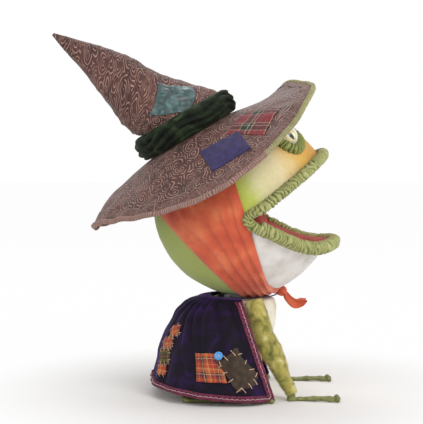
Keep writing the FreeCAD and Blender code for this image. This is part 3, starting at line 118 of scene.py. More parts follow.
def smooth_rows(rows: Rows, at: Array) -> Array:
    """Runs a smooth curve through rows of numbers.

    Args:
        rows: each row is a place followed by the values there, in order of place.
        at: the places wanted.

    Returns:
        One row of values for each place in at.
    """
    table = np.array(rows, float)
    x, y = table[:, 0], table[:, 1:]
    slope = np.gradient(y, x, axis=0)
    i = np.clip(np.searchsorted(x, at) - 1, 0, len(x) - 2)
    width = (x[i + 1] - x[i])[:, None]
    t = ((at - x[i]) / (x[i + 1] - x[i]))[:, None]
    a, b, c, d = 2 * t**3 - 3 * t**2 + 1, t**3 - 2 * t**2 + t, 3 * t**2 - 2 * t**3, t**3 - t**2
    return a * y[i] + b * slope[i] * width + c * y[i + 1] + d * slope[i + 1] * width


def undulate(points: Array, wavelength: float, seed: int, waves: int = 7) -> Array:
    """A soft irregular height over space, roughly from -1 to 1, as hand-worked cloth has.

    Args:
        points: places in millimetres, xyz along the last axis.
        wavelength: the usual distance from crest to crest, in millimetres.
        seed: fixes the pattern.
        waves: how many plane waves are mixed.

    Returns:
        One height for each place.
    """
    rng = np.random.default_rng(seed)
    ways = unit(rng.normal(size=(waves, 3)))
    lengths = wavelength * rng.uniform(0.6, 1.7, waves)
    phases = rng.uniform(0, TAU, waves)
    total = np.zeros(points.shape[:-1])
    for way, length, phase in zip(ways, lengths, phases):
        total += np.sin(points @ way * TAU / length + phase)
    return total / math.sqrt(waves * 1.5)


def along_path(points: Array, closed: bool = False) -> Array:
    """Distance along a run of points, in millimetres."""
    step = np.linalg.norm(np.diff(points, axis=0, append=points[:1] if closed else points[-1:]), axis=1)
    return np.concatenate([[0], np.cumsum(step)[:-1]])


def resample(points: Array, count: int) -> Array:
    """Spreads count points evenly along a smooth curve through the given ones."""
    place = along_path(points)
    return smooth_rows(np.column_stack([place, points]), np.linspace(0, place[-1], count))


# ------------------------------------------------------------------ meshes


def write_mesh(name: str, points: Array, faces: Sequence, uv: Optional[Sequence] = None,
               edges: Sequence = (), values: Optional[dict] = None) -> Object:
    """Writes points and faces as a smooth-shaded object at the origin.

    Args:
        name: the piece's name.
        points: vertices in millimetres.
        faces: vertex numbers of each face.
        uv: for each face, the flat-cloth position in millimetres of each of its corners.
        edges: vertex numbers of loose edges.
        values: named numbers or vectors for each vertex.

    Returns:
        The new object, linked into the scene.
    """
    mesh = bpy.data.meshes.new(name)
    mesh.from_pydata((np.asarray(points) * MM).tolist(), [tuple(e) for e in edges], [tuple(f) for f in faces])
    if uv is not None:
        layer = mesh.uv_layers.new(name="cloth")
        flat = np.array([corner for face in uv for corner in face], np.float32) * MM
        layer.data.foreach_set("uv", flat.ravel())
    for key, numbers in (values or {}).items():
        numbers = np.asarray(numbers, np.float32)
        kind = "FLOAT_VECTOR" if numbers.ndim == 2 else "FLOAT"
        attribute = mesh.attributes.new(key, kind, "POINT")
        attribute.data.foreach_set("vector" if numbers.ndim == 2 else "value", numbers.ravel())
    mesh.polygons.foreach_set("use_smooth", [True] * len(mesh.polygons))
    mesh.update()
    piece = bpy.data.objects.new(name, mesh)
    bpy.context.scene.collection.objects.link(piece)
    return piece


def heal(piece: Object, distance: float = 0.02) -> Object:
    """Merges doubled points of a closed piece and turns its faces outwards."""
    work = bmesh.new()
    work.from_mesh(piece.data)
    bmesh.ops.remove_doubles(work, verts=work.verts, dist=distance * MM)
    bmesh.ops.recalc_face_normals(work, faces=work.faces)
    work.to_mesh(piece.data)
    work.free()
    return piece


def join(name: str, pieces: Sequence[Object]) -> Object:
    """Joins objects into one mesh under a new name; their materials and UV maps stay."""
    with bpy.context.temp_override(active_object=pieces[0], selected_editable_objects=list(pieces)):
        bpy.ops.object.join()
    pieces[0].name = pieces[0].data.name = name
    return pieces[0]


@dataclass
class Cloth:
    """A stretch of cloth as a grid of points, with its flat-cut position at each.

    Rows run one way and columns the other; wrapped cloth closes on itself after its last column. Its normal
    is rows' way crossed with columns' way, times side.
    """

    points: Array
    flat: Array
    wrapped: bool = False
    side: float = 1.0

    def normals(self) -> Array:
        """The way that the cloth's outer side faces at each point."""
        rows = np.gradient(self.points, axis=0)
        if self.wrapped:
            cols = (np.roll(self.points, -1, axis=1) - np.roll(self.points, 1, axis=1)) / 2
        else:
            cols = np.gradient(self.points, axis=1)
        return unit(np.cross(rows, cols)) * self.side

    def lifted(self, height: Numbers) -> "Cloth":
        """The same cloth moved out along its normals by a height or a grid of heights."""
        height = np.asarray(height, float)
        if height.ndim:
            height = height[..., None]
        return Cloth(self.points + self.normals() * height, self.flat, self.wrapped, self.side)

    def quads(self) -> tuple[list, list]:
        """Corner numbers of each face, and the flat-cut position of each corner."""
        rows, cols = self.points.shape[:2]
        last = cols if self.wrapped else cols - 1
        faces, uv = [], []
        for i in range(rows - 1):
            for j in range(last):
                k = (j + 1) % cols
                faces.append((i * cols + j, (i + 1) * cols + j, (i + 1) * cols + k, i * cols + k))
                uv.append((self.flat[i, j], self.flat[i + 1, j], self.flat[i + 1, j + 1],
                           self.flat[i, j + 1]))
        return faces, uv

    def face(self, ways: Array) -> None:
        """Sets the side by the directions given, from how the cloth's normals lie to them on the whole."""
        self.side = 1.0 if np.mean(np.sum(self.normals() * ways, axis=-1)) > 0 else -1.0

    def shell(self, name: str, thickness: Numbers) -> Object:
        """A closed piece: the cloth's outer side, its inner side, and the edges between them."""
        inner = self.lifted(-np.asarray(thickness, float)).points
        rows, cols = self.points.shape[:2]
        count = rows * cols
        faces, uv = self.quads()
        faces += [tuple(v + count for v in reversed(f)) for f in faces]
        uv += [tuple(reversed(c)) for c in uv]
        rims = [[i * cols + j for j in range(cols)] for i in (0, rows - 1)]
        if not self.wrapped:
            rims += [[i * cols + j for i in range(rows)] for j in (0, cols - 1)]
        flat = self.flat[:, :cols].reshape(-1, 2)
        for rim in rims:
            loop = rim + rim[:1] if self.wrapped else rim
            for a, b in zip(loop, loop[1:]):
                faces.append((a, b, b + count, a + count))
                uv.append((flat[a], flat[b], flat[b], flat[a]))
        points = np.concatenate([self.points.reshape(-1, 3), inner.reshape(-1, 3)])
        return heal(write_mesh(name, points, faces, uv))


def ring_cloth(centres: Array, across: Array, upward: Array, radii: Array, turns: int = 64,
               side: float = 1.0) -> Cloth:
    """Cloth wrapped round a run of rings.

    Args:
        centres: the ring centres.
        across: a direction in each ring's plane.
        upward: the direction square to across in that plane.
        radii: for each ring, its half size along across and along upward.
        turns: how many columns go round.
        side: 1 or -1, which way the outside faces.

    Returns:
        The wrapped cloth; its flat cut is unrolled round the rings.
    """
    angle = whole_turn(turns)
    wave = np.cos(angle)[None, :, None] * across[:, None, :] * radii[:, None, :1]
    rise = np.sin(angle)[None, :, None] * upward[:, None, :] * radii[:, None, 1:]
    points = centres[:, None, :] + wave + rise
    reach = np.repeat(along_path(centres)[:, None], turns + 1, axis=1)
    around = np.linspace(0, TAU, turns + 1)[None, :] * radii.mean(axis=1)[:, None]
    return Cloth(points, np.stack([around, reach], axis=-1), True, side)


def limb_cloth(points: Array, radii: Array, turns: int = 40) -> Cloth:
    """Cloth wrapped round a path with a radius at each of its points."""
    way = unit(np.gradient(points, axis=0))
    across = unit(np.cross(way, vec(0.13, 0.2, 1.0) if abs(way[0][2]) < 0.9 else vec(1, 0.2, 0)))
    return ring_cloth(points, across, np.cross(across, way), np.column_stack([radii, radii]), turns, -1.0)


def capped(cloth: Cloth, name: str) -> Object:
    """A wrapped cloth closed at both ends by drawing each end in to its middle."""
    faces, uv = cloth.quads()
    rows, cols = cloth.points.shape[:2]
    points = cloth.points.reshape(-1, 3)
    ends = [cloth.points[0].mean(axis=0), cloth.points[-1].mean(axis=0)]
    for row, hub in ((0, rows * cols), (rows - 1, rows * cols + 1)):
        for j in range(cols):
            faces.append((row * cols + j, row * cols + (j + 1) % cols, hub))
            uv.append((cloth.flat[row, j], cloth.flat[row, j + 1], cloth.flat[row, j]))
    return heal(write_mesh(name, np.vstack([points, ends]), faces, uv))


def hooped(cloth: Cloth, name: str) -> Object:
    """A wrapped cloth closed by joining its last row to its first."""
    faces, uv = cloth.quads()
    rows, cols = cloth.points.shape[:2]
    last = (rows - 1) * cols
    for j in range(cols):
        k = (j + 1) % cols
        faces.append((last + j, j, k, last + k))
        uv.append((cloth.flat[0, j], cloth.flat[0, j], cloth.flat[0, j + 1], cloth.flat[0, j + 1]))
    return heal(write_mesh(name, cloth.points.reshape(-1, 3), faces, uv))


# ------------------------------------------------------------------ node trees


def pick(sockets: Sequence, key: int | str) -> Socket:
    """The socket in use with that name, or that place among those in use."""
    used = [s for s in sockets if s.enabled]
    return used[key] if isinstance(key, int) else next(s for s in used if s.name == key)


def add(tree: Tree, kind: str, links: Links = (), **settings: object) -> Node:
    """Adds a node to a tree with its settings and links.

    Args:
        tree: the node tree.
        kind: the node's type name.
        links: what feeds its inputs, by name or in order: a value, a socket, or a node for its first output.
        settings: the node's own properties.

    Returns:
        The new node.
    """
    node = tree.nodes.new(kind)
    for key, value in settings.items():
        setattr(node, key, value)
    for key, value in links.items() if isinstance(links, dict) else enumerate(links):
        socket = pick(node.inputs, key)
        if isinstance(value, Node):
            value = pick(value.outputs, 0)
        if isinstance(value, Socket):
            tree.links.new(value, socket)
        elif value is not None:
            socket.default_value = value
    return node


def linear(code: str) -> tuple[float, float, float, float]:
    """An sRGB hex colour as the linear colour that a shader takes."""
    parts = [int(code.lstrip("#")[i:i + 2], 16) / 255 for i in (0, 2, 4)]
    return (*(p / 12.92 if p <= 0.04045 else ((p + 0.055) / 1.055) ** 2.4 for p in parts), 1.0)


def new_tree(name: str, sockets: dict) -> tuple[Tree, Node]:
    """Starts a geometry tree with a geometry in and out and named inputs.

    Args:
        name: the tree's name.
        sockets: for each input its default: a whole number, a number, a material type or a truth value.

    Returns:
        The tree and its input node.
    """
    kinds = {bool: "NodeSocketBool", int: "NodeSocketInt", float: "NodeSocketFloat",
             type(None): "NodeSocketMaterial"}
    tree = bpy.data.node_groups.new(name, "GeometryNodeTree")
    tree.interface.new_socket(name="Geometry", in_out="INPUT", socket_type="NodeSocketGeometry")
    tree.interface.new_socket(name="Geometry", in_out="OUTPUT", socket_type="NodeSocketGeometry")
    for key, default in sockets.items():
        socket = tree.interface.new_socket(name=key, in_out="INPUT", socket_type=kinds[type(default)])
        if default is not None:
            socket.default_value = default
    return tree, tree.nodes.new("NodeGroupInput")


def finish_tree(tree: Tree, geometry: Socket, material: Socket) -> None:
    """Ends a geometry tree with real instances and a material."""
    real = add(tree, "GeometryNodeRealizeInstances", {"Geometry": geometry})
    dressed = add(tree, "GeometryNodeSetMaterial", {"Geometry": real, "Material": material})
    add(tree, "NodeGroupOutput", {"Geometry": dressed})


def grow(piece: Object, tree: Tree, **inputs: object) -> Object:
    """Runs a geometry tree on a piece and keeps the result as its plain mesh.

    Args:
        piece: the object that the tree works on.
        tree: the geometry tree.
        inputs: the tree's inputs by name, with _ for a space.

    Returns:
        The same object with its new mesh.
    """
    modifier = piece.modifiers.new(tree.name, "NODES")
    modifier.node_group = tree
    by_name = {item.name: item.identifier for item in tree.interface.items_tree if item.in_out == "INPUT"}
    for key, value in inputs.items():
        modifier[by_name[key.replace("_", " ")]] = value
    return bake(piece)


def bake(piece: Object) -> Object:
    """Keeps what a piece's modifiers make of it as its plain mesh."""
    bpy.context.view_layer.update()
    evaluated = piece.evaluated_get(bpy.context.evaluated_depsgraph_get())
    mesh = bpy.data.meshes.new_from_object(evaluated)
    old = piece.data
    piece.modifiers.clear()
    piece.data = mesh
    mesh.name = piece.name
    bpy.data.meshes.remove(old)
    return piece


def roll_tree() -> Tree:
    """Makes the tree that turns a path into a padded roll of gathered cloth.

    Returns:
        The tree: Radius shapes the roll, Rib Pitch and Rib Depth its gathers, Twist turns them into a rope's
        lay, and Unevenness and Seed make them irregular. It leaves the gathers' height in "rib".
    """
    tree, given = new_tree("gathered_roll", {
        "Radius": 0.007, "Rib Pitch": 0.006, "Rib Depth": 0.0015, "Twist": 0.0, "Unevenness": 1.0,
        "Round": 20, "Seed": 0.0, "Material": None,
    })
    g = given.outputs
    path = add(tree, "GeometryNodeMeshToCurve", {"Mesh": g["Geometry"]})
    step = add(tree, "ShaderNodeMath", [g["Rib Pitch"], 7.0], operation="DIVIDE")
    run = add(tree, "GeometryNodeResampleCurve", {"Curve": path, "Length": step}, mode="LENGTH")
    place = add(tree, "GeometryNodeSplineParameter")
    run = add(tree, "GeometryNodeStoreNamedAttribute",
              {"Geometry": run, "Name": "along", "Value": place.outputs["Length"]},
              data_type="FLOAT", domain="POINT")
    ring = add(tree, "GeometryNodeCurvePrimitiveCircle", {"Resolution": g["Round"], "Radius": g["Radius"]})
    ring = add(tree, "GeometryNodeStoreNamedAttribute",
               {"Geometry": ring, "Name": "around", "Value": place.outputs["Factor"]},
               data_type="FLOAT", domain="POINT")
    tube = add(tree, "GeometryNodeCurveToMesh", {"Curve": run, "Profile Curve": ring, "Fill Caps": True})
    along = add(tree, "GeometryNodeInputNamedAttribute", {"Name": "along"}, data_type="FLOAT")
    around = add(tree, "GeometryNodeInputNamedAttribute", {"Name": "around"}, data_type="FLOAT")
    spot = add(tree, "GeometryNodeInputPosition")
    drift = add(tree, "ShaderNodeTexNoise",
                {"Vector": spot, "W": g["Seed"], "Scale": per(19.0), "Detail": 1.0},
                noise_dimensions="4D")
    fine = add(tree, "ShaderNodeTexNoise", {"Vector": spot, "W": g["Seed"], "Scale": per(5.0), "Detail": 2.0},
               noise_dimensions="4D")
    slip = add(tree, "ShaderNodeMath", [drift, 0.5], operation="SUBTRACT")
    slip = add(tree, "ShaderNodeMath", [slip, g["Unevenness"]], operation="MULTIPLY")
    slip = add(tree, "ShaderNodeMath", [slip, 5.0], operation="MULTIPLY")
    phase = add(tree, "ShaderNodeMath", [along, g["Rib Pitch"]], operation="DIVIDE")
    phase = add(tree, "ShaderNodeMath", [around, g["Twist"], phase], operation="MULTIPLY_ADD")
    phase = add(tree, "ShaderNodeMath", [phase, slip], operation="ADD")
    phase = add(tree, "ShaderNodeMath", [phase, math.pi], operation="MULTIPLY")
    rib = add(tree, "ShaderNodeMath", [phase], operation="SINE")
    rib = add(tree, "ShaderNodeMath", [rib], operation="ABSOLUTE")
    swell = add(tree, "ShaderNodeMath", [fine, g["Unevenness"], 0.6], operation="MULTIPLY_ADD")
    rib = add(tree, "ShaderNodeMath", [rib, swell], operation="MULTIPLY")
    height = add(tree, "ShaderNodeMath", [rib, 0.9], operation="SUBTRACT")
    height = add(tree, "ShaderNodeMath", [height, g["Rib Depth"]], operation="MULTIPLY")
    push = add(tree, "ShaderNodeVectorMath", {0: add(tree, "GeometryNodeInputNormal"), "Scale": height},
               operation="SCALE")
    kept = add(tree, "GeometryNodeStoreNamedAttribute", {"Geometry": tube, "Name": "rib", "Value": rib},
               data_type="FLOAT", domain="POINT")
    moved = add(tree, "GeometryNodeSetPosition", {"Geometry": kept, "Offset": push})
    soft = add(tree, "GeometryNodeSetShadeSmooth", {"Geometry": moved})
    finish_tree(tree, soft.outputs[0], g["Material"])
    return tree


def stitch_tree() -> Tree:
    """Makes the tree that turns loose edges into plump hand stitches.

    Returns:
        The tree: each edge becomes one thread that rises along its "lift" and thins at its ends.
    """
    tree, given = new_tree("hand_stitches", {"Thread": 0.0005, "Rise": 0.0006, "Round": 6, "Material": None})
    g = given.outputs
    path = add(tree, "GeometryNodeMeshToCurve", {"Mesh": g["Geometry"]})
    run = add(tree, "GeometryNodeResampleCurve", {"Curve": path, "Count": 7}, mode="COUNT")
    place = add(tree, "GeometryNodeSplineParameter").outputs["Factor"]
    half_turn = add(tree, "ShaderNodeMath", [place, math.pi], operation="MULTIPLY")
    arch = add(tree, "ShaderNodeMath", [half_turn], operation="SINE")
    lift = add(tree, "GeometryNodeInputNamedAttribute", {"Name": "lift"}, data_type="FLOAT_VECTOR")
    height = add(tree, "ShaderNodeMath", [arch, g["Rise"]], operation="MULTIPLY")
    push = add(tree, "ShaderNodeVectorMath", {0: lift, "Scale": height}, operation="SCALE")
    bent = add(tree, "GeometryNodeSetPosition", {"Geometry": run, "Offset": push})
    plump = add(tree, "ShaderNodeMath", [arch, 0.55, 0.45], operation="MULTIPLY_ADD")
    ring = add(tree, "GeometryNodeCurvePrimitiveCircle", {"Resolution": g["Round"], "Radius": g["Thread"]})
    bent = add(tree, "GeometryNodeSetCurveRadius", {"Curve": bent, "Radius": plump})
    tube = add(tree, "GeometryNodeCurveToMesh", {"Curve": bent, "Profile Curve": ring, "Fill Caps": True})
    soft = add(tree, "GeometryNodeSetShadeSmooth", {"Geometry": tube})
    finish_tree(tree, soft.outputs[0], g["Material"])
    return tree


def pile_tree() -> Tree:
    """Makes the tree that grows a short pile of loose fibres out of a stuffed piece.

    Returns:
        The tree: Length and Thickness are one fibre's size, Density the fibres per square metre, Lean how
        far they lie over.
    """
    tree, given = new_tree("short_pile", {
        "Length": 0.003, "Thickness": 0.00025, "Density": 200000.0, "Lean": 0.6, "Seed": 0, "Material": None,
    })
    g = given.outputs
    spots = add(tree, "GeometryNodeDistributePointsOnFaces",
                {"Mesh": g["Geometry"], "Density": g["Density"], "Seed": g["Seed"]})
    fibre = add(tree, "GeometryNodeMeshCone",
                {"Vertices": 3, "Radius Top": 0.0, "Radius Bottom": g["Thickness"], "Depth": g["Length"]})
    tilt = add(tree, "FunctionNodeRandomValue",
               {"Min": (-1.0, -1.0, -1.0), "Max": (1.0, 1.0, 1.0), "Seed": g["Seed"]},
               data_type="FLOAT_VECTOR")
    lean = add(tree, "ShaderNodeVectorMath", {0: tilt, "Scale": g["Lean"]}, operation="SCALE")
    way = add(tree, "ShaderNodeVectorMath", [spots.outputs["Normal"], lean], operation="ADD")
    turn = add(tree, "FunctionNodeAlignRotationToVector", {"Vector": way}, axis="Z")
    size = add(tree, "FunctionNodeRandomValue", {"Min": 0.5, "Max": 1.2, "Seed": g["Seed"]},
               data_type="FLOAT")
    coat = add(tree, "GeometryNodeInstanceOnPoints",
               {"Points": spots, "Instance": fibre, "Rotation": turn, "Scale": size})
    both = add(tree, "GeometryNodeJoinGeometry", {"Geometry": coat})
    tree.links.new(g["Geometry"], both.inputs[0])
    finish_tree(tree, both.outputs[0], g["Material"])
    return tree


# ------------------------------------------------------------------ finishes


class Surface:
    """A material in the making: its tree and its shader."""

    def __init__(self, name: str, **values: object) -> None:
        """Starts a material.

        Args:
            name: the material's name.
            values: the shader's own values by input name, with _ for a space.
        """
        self.material = bpy.data.materials.new(name)
        self.material.use_nodes = True
        self.tree = self.material.node_tree
        self.tree.nodes.clear()
        self.shader = add(self.tree, "ShaderNodeBsdfPrincipled")
        for key, value in values.items():
            self.shader.inputs[key.replace("_", " ")].default_value = value
        add(self.tree, "ShaderNodeOutputMaterial", {"Surface": self.shader})

    def place(self) -> Socket:
        """The piece's own place in metres."""
        return add(self.tree, "ShaderNodeTexCoord").outputs["Object"]

    def cloth(self) -> Node:
        """The flat cloth's place in metres."""
        return add(self.tree, "ShaderNodeUVMap", uv_map="cloth")

    def mottle(self, where: Source, size: float, colours: Sequence[str], contrast: float = 0.3,
               detail: float = 3.0,
               skew: float = 0.0) -> Node:
        """Colours that drift into one another over a real size.

        Args:
            where: the coordinates.
            size: the drift's size in millimetres.
            colours: sRGB hex colours from the darkest to the lightest.
            contrast: half the width of the noise range that the colours are spread over.
            detail: how much finer drift is mixed in.
            skew: noise distortion.

        Returns:
            A ramp node of colour.
        """
        cloud = add(self.tree, "ShaderNodeTexNoise",
                    {"Vector": where, "Scale": per(size), "Detail": detail, "Distortion": skew})
        return self.graded(cloud, [(0.5 + contrast * (2 * i / max(len(colours) - 1, 1) - 1), c)
                                   for i, c in enumerate(colours)])

    def graded(self, amount: Source, stops: Sequence[tuple[float, str]], steps: bool = False) -> Node:
        """Colours spread along a number.

        Args:
            amount: the number, as a socket or node.
            stops: places from 0 to 1 and their sRGB hex colours.
            steps: whether each colour holds until the next one.

        Returns:
            The ramp node.
        """
        ramp = add(self.tree, "ShaderNodeValToRGB", [amount])
        band = ramp.color_ramp
        band.interpolation = "CONSTANT" if steps else "LINEAR"
        while len(band.elements) < len(stops):
            band.elements.new(0.5)
        for element, (spot, code) in zip(band.elements, stops):
            element.position = min(max(spot, 0.0), 1.0)
            element.color = linear(code)
        return ramp

    def over(self, under: Source, top: Source, amount: Source | float) -> Node:
        """Lays one colour over another by an amount."""
        return add(self.tree, "ShaderNodeMix", {"Factor": amount, "A": under, "B": top}, data_type="RGBA")

    def weave(self, where: Source, thread: float) -> Socket:
        """The height of a plain weave whose threads are so many millimetres apart, from 0 to 1."""
        parts = []
        for axis in ("X", "Y"):
            links = {"Vector": where, "Scale": per(thread * BANDS), "Distortion": 1.2,
                     "Detail Scale": per(4 * thread)}
            parts.append(add(self.tree, "ShaderNodeTexWave", links, bands_direction=axis).outputs["Fac"])
        return add(self.tree, "ShaderNodeMath", parts, operation="MULTIPLY").outputs[0]

    def relief(self, height: Source, depth: float, strength: float = 0.8) -> None:
        """Presses a height from 0 to 1 into the surface, so many millimetres deep, over what is there."""
        below = self.shader.inputs["Normal"]
        links = {"Height": height, "Distance": depth * MM, "Strength": strength}
        if below.links:
            links["Normal"] = below.links[0].from_socket
        self.tree.links.new(add(self.tree, "ShaderNodeBump", links).outputs[0], below)

    def grain(self, where: Source, size: float, detail: float, depth: float, strength: float = 0.8,
              skew: float = 0.0) -> None:
        """Presses an uneven grain into the surface.

        Args:
            where: the coordinates.
            size: the grain's size in millimetres.
            detail: how much finer grain is mixed in.
            depth: its depth in millimetres.
            strength: how strongly it shades.
            skew: noise distortion.
        """
        cloud = add(self.tree, "ShaderNodeTexNoise",
                    {"Vector": where, "Scale": per(size), "Detail": detail, "Distortion": skew})
        self.relief(cloud, depth, strength)

    def colour(self, node: Source) -> Material:
        """Gives the shader its colour and returns the finished material."""
        socket = node if isinstance(node, Socket) else pick(node.outputs, 0)
        self.tree.links.new(socket, self.shader.inputs["Base Color"])
        return self.material


@dataclass(frozen=True)
class Damask:
    """Jacquard-woven upholstery damask: a brown satin ground with raised paler scrolls like fern tips."""

    ground: Sequence[str] = ("#3a2320", "#4f302c", "#65423c")
    scroll: Sequence[str] = ("#94705f", "#c9a090")
    curl_size: float = 21.0
    turns: float = 2.6
    line_share: float = 0.55

    def make(self) -> Material:
        """Builds the material."""
        s = Surface("jacquard_damask", Roughness=0.66, Sheen_Weight=0.08, Specular_IOR_Level=0.35)
        t, flat = s.tree, s.cloth()
        warp = add(t, "ShaderNodeTexNoise", {"Vector": flat, "Scale": per(30), "Detail": 1.5})
        warp = add(t, "ShaderNodeVectorMath", [warp.outputs["Color"], (0.5, 0.5, 0.5)], operation="SUBTRACT")
        warp = add(t, "ShaderNodeVectorMath", [warp, (0.02, 0.02, 0.0), flat], operation="MULTIPLY_ADD")
        cell = add(t, "ShaderNodeTexVoronoi",
                   {"Vector": warp, "Scale": per(self.curl_size), "Randomness": 0.85},
                   voronoi_dimensions="2D")
        arm = add(t, "ShaderNodeVectorMath", [warp, cell.outputs["Position"]], operation="SUBTRACT")
        arm = add(t, "ShaderNodeSeparateXYZ", [arm])
        angle = add(t, "ShaderNodeMath", [arm.outputs["Y"], arm.outputs["X"]], operation="ARCTAN2")
        spiral = add(t, "ShaderNodeMath", [cell.outputs["Distance"], TAU * self.turns * 2, angle],
                     operation="MULTIPLY_ADD")
        wave = add(t, "ShaderNodeMath", [spiral], operation="SINE")
        line = add(t, "ShaderNodeMapRange", {"Value": wave, "From Min": self.line_share, "From Max": 0.9})
        gaps = add(t, "ShaderNodeTexNoise", {"Vector": flat, "Scale": per(9), "Detail": 1.0})
        gaps = add(t, "ShaderNodeMapRange", {"Value": gaps, "From Min": 0.38, "From Max": 0.5})
        mask = add(t, "ShaderNodeMath", [line, gaps], operation="MULTIPLY")
        rib = s.weave(flat, 0.9)
        s.relief(rib, 0.12)
        s.relief(mask, 0.35, 0.7)
        ground = s.mottle(flat, 34, self.ground, 0.22)
        ground = s.over(ground, add(t, "ShaderNodeHueSaturation", {"Color": ground, "Value": 0.72}),
                        add(t, "ShaderNodeMath", [rib, 0.45], operation="MULTIPLY"))
        return s.colour(s.over(ground, s.mottle(flat, 12, self.scroll, 0.2), mask))


@dataclass(frozen=True)
class CrushedVelvet:
    """Crushed velvet: short pile laid in all directions; its colour drifts at random from near-black painted
    shade to bright painted highlight.
    """

    name: str
    shades: Sequence[str]
    sheen: str
    crush: float = 14.0
    glow: float = 0.8

    def make(self) -> Material:
        """Builds the material."""
        s = Surface(self.name, Roughness=0.85, Sheen_Weight=self.glow, Sheen_Roughness=0.3,
                    Sheen_Tint=linear(self.sheen), Specular_IOR_Level=0.25)
        where = s.place()
        s.grain(where, 1.1, 2.0, 0.25, 0.6)
        s.grain(where, self.crush * 0.7, 3.0, 1.6, 0.6, 1.0)
        # the shades run from painted shade to painted highlight, spread over the cloth by noise
        return s.colour(s.mottle(where, self.crush, self.shades, 0.2, 4.0, 1.2))


@dataclass(frozen=True)
class Satin:
    """Creased polyester satin: smooth floats that throw long soft highlights off every crease."""

    name: str = "creased_satin"
    # the lightest of these shades stands for a painted highlight
    shades: Sequence[str] = ("#172b2a", "#2b4a4a", "#54797a")

    def make(self) -> Material:
        """Builds the material."""
        s = Surface(self.name, Roughness=0.34, Anisotropic=0.5, Sheen_Weight=0.2, Specular_IOR_Level=0.6)
        where = s.place()
        s.relief(s.weave(s.cloth(), 0.5), 0.05)
        s.grain(where, 17, 4.0, 2.6, skew=1.8)
        # the lightest shade is a painted highlight, spread by noise apart from the creases
        return s.colour(s.mottle(where, 15, self.shades, 0.2, 3.0, 1.5))


@dataclass(frozen=True)
class Tartan:
    """Brushed cotton tartan in a 2/2 twill: bands of warp and weft that mix where they cross."""

    name: str
    bands: Sequence[tuple[float, str]]
    sett: float = 24.0

    def make(self) -> Material:
        """Builds the material."""
        s = Surface(self.name, Roughness=0.88, Sheen_Weight=0.08)
        t, flat = s.tree, s.cloth()
        parts = add(t, "ShaderNodeSeparateXYZ", [flat])
        ways = []
        for axis in ("X", "Y"):
            run = add(t, "ShaderNodeMath", [parts.outputs[axis], per(self.sett)], operation="MULTIPLY")
            run = add(t, "ShaderNodeMath", [run], operation="FRACT")
            ways.append(s.graded(run, self.bands, steps=True))
        # the real twill line is 0.5 mm wide; it is drawn at 1.3 mm so that it shows
        twill = add(t, "ShaderNodeTexWave", {"Vector": flat, "Scale": per(1.3 * BANDS)},
                    bands_direction="DIAGONAL")
        side = add(t, "ShaderNodeMapRange", {"Value": twill, "From Min": 0.4, "From Max": 0.6})
        s.relief(twill, 0.12)
        s.grain(flat, 2.5, 2.0, 0.2, 0.4)
        return s.colour(s.over(ways[0], ways[1], side))


@dataclass(frozen=True)
class Felt:
    """Pressed wool felt: matted fibres with no weave, so it is dull and softly mottled."""

    name: str
    shades: Sequence[str]

    def make(self) -> Material:
        """Builds the material."""
        s = Surface(self.name, Roughness=0.95, Sheen_Weight=0.12, Sheen_Roughness=0.6)
        where = s.place()
        s.grain(where, 1.6, 4.0, 0.4, 0.7, 0.8)
        return s.colour(s.mottle(where, 7, self.shades, 0.25, 6.0))


@dataclass(frozen=True)
class PlainWeave:
    """Plain-woven cotton: an even small grain, matt, with the colour worn paler along the folds."""

    name: str
    shades: Sequence[str]
    thread: float = 0.8
    drift: float = 30.0
    sheen: float = 0.25

    def make(self) -> Material:
        """Builds the material."""
        s = Surface(self.name, Roughness=0.72, Sheen_Weight=self.sheen, Sheen_Roughness=0.5)
        s.relief(s.weave(s.cloth(), self.thread), 0.1, 0.6)
        s.grain(s.place(), 6, 3.0, 0.25, 0.35)
        return s.colour(s.mottle(s.place(), self.drift, self.shades, 0.22, 5.0))


@dataclass(frozen=True)
class AirbrushedSkin:
    """Stretch cotton airbrushed over foam: lime at the cheek, cream in the middle, ochre at the snout."""

    centre: Sequence[float]
    angle: float
    stops: Sequence[tuple[float, str]] = (
        (0.0, "#a0ad5c"), (0.22, "#b5c070"), (0.38, "#b4c040"), (0.48, "#c6d066"),
        (0.6, "#e4deac"), (0.72, "#ebdcae"), (0.84, "#e3b65a"), (1.0, "#d69a3c"))

    def make(self) -> Material:
        """Builds the material."""
        s = Surface("airbrushed_stretch_cotton", Roughness=0.78, Sheen_Weight=0.15)
        t, where = s.tree, s.place()
        c, a = self.centre, math.radians(self.angle)
        drift = add(t, "ShaderNodeTexNoise", {"Vector": where, "Scale": per(42), "Detail": 3.0})
        drift = add(t, "ShaderNodeVectorMath", [drift.outputs["Color"], (0.5, 0.5, 0.5)],
                    operation="SUBTRACT")
        drift = add(t, "ShaderNodeVectorMath", [drift, (0.035, 0.035, 0.035), where],
                    operation="MULTIPLY_ADD")
        rel = add(t, "ShaderNodeVectorMath", [drift, tuple(c)], operation="SUBTRACT")
        run = add(t, "ShaderNodeVectorMath", [rel, (math.cos(a), 0.0, math.sin(a))], operation="DOT_PRODUCT")
        share = add(t, "ShaderNodeMapRange", {"Value": run, "From Min": -0.09, "From Max": 0.125})
        s.relief(s.weave(where, 1.0), 0.06, 0.5)
        speck = s.mottle(where, 5, ("#d8d0a8", "#ffffff"), 0.25, 5.0)
        tint = s.graded(share, self.stops)
        return s.colour(add(t, "ShaderNodeMix", {"Factor": 0.3, "A": tint, "B": speck}, data_type="RGBA",
                            blend_type="MULTIPLY"))


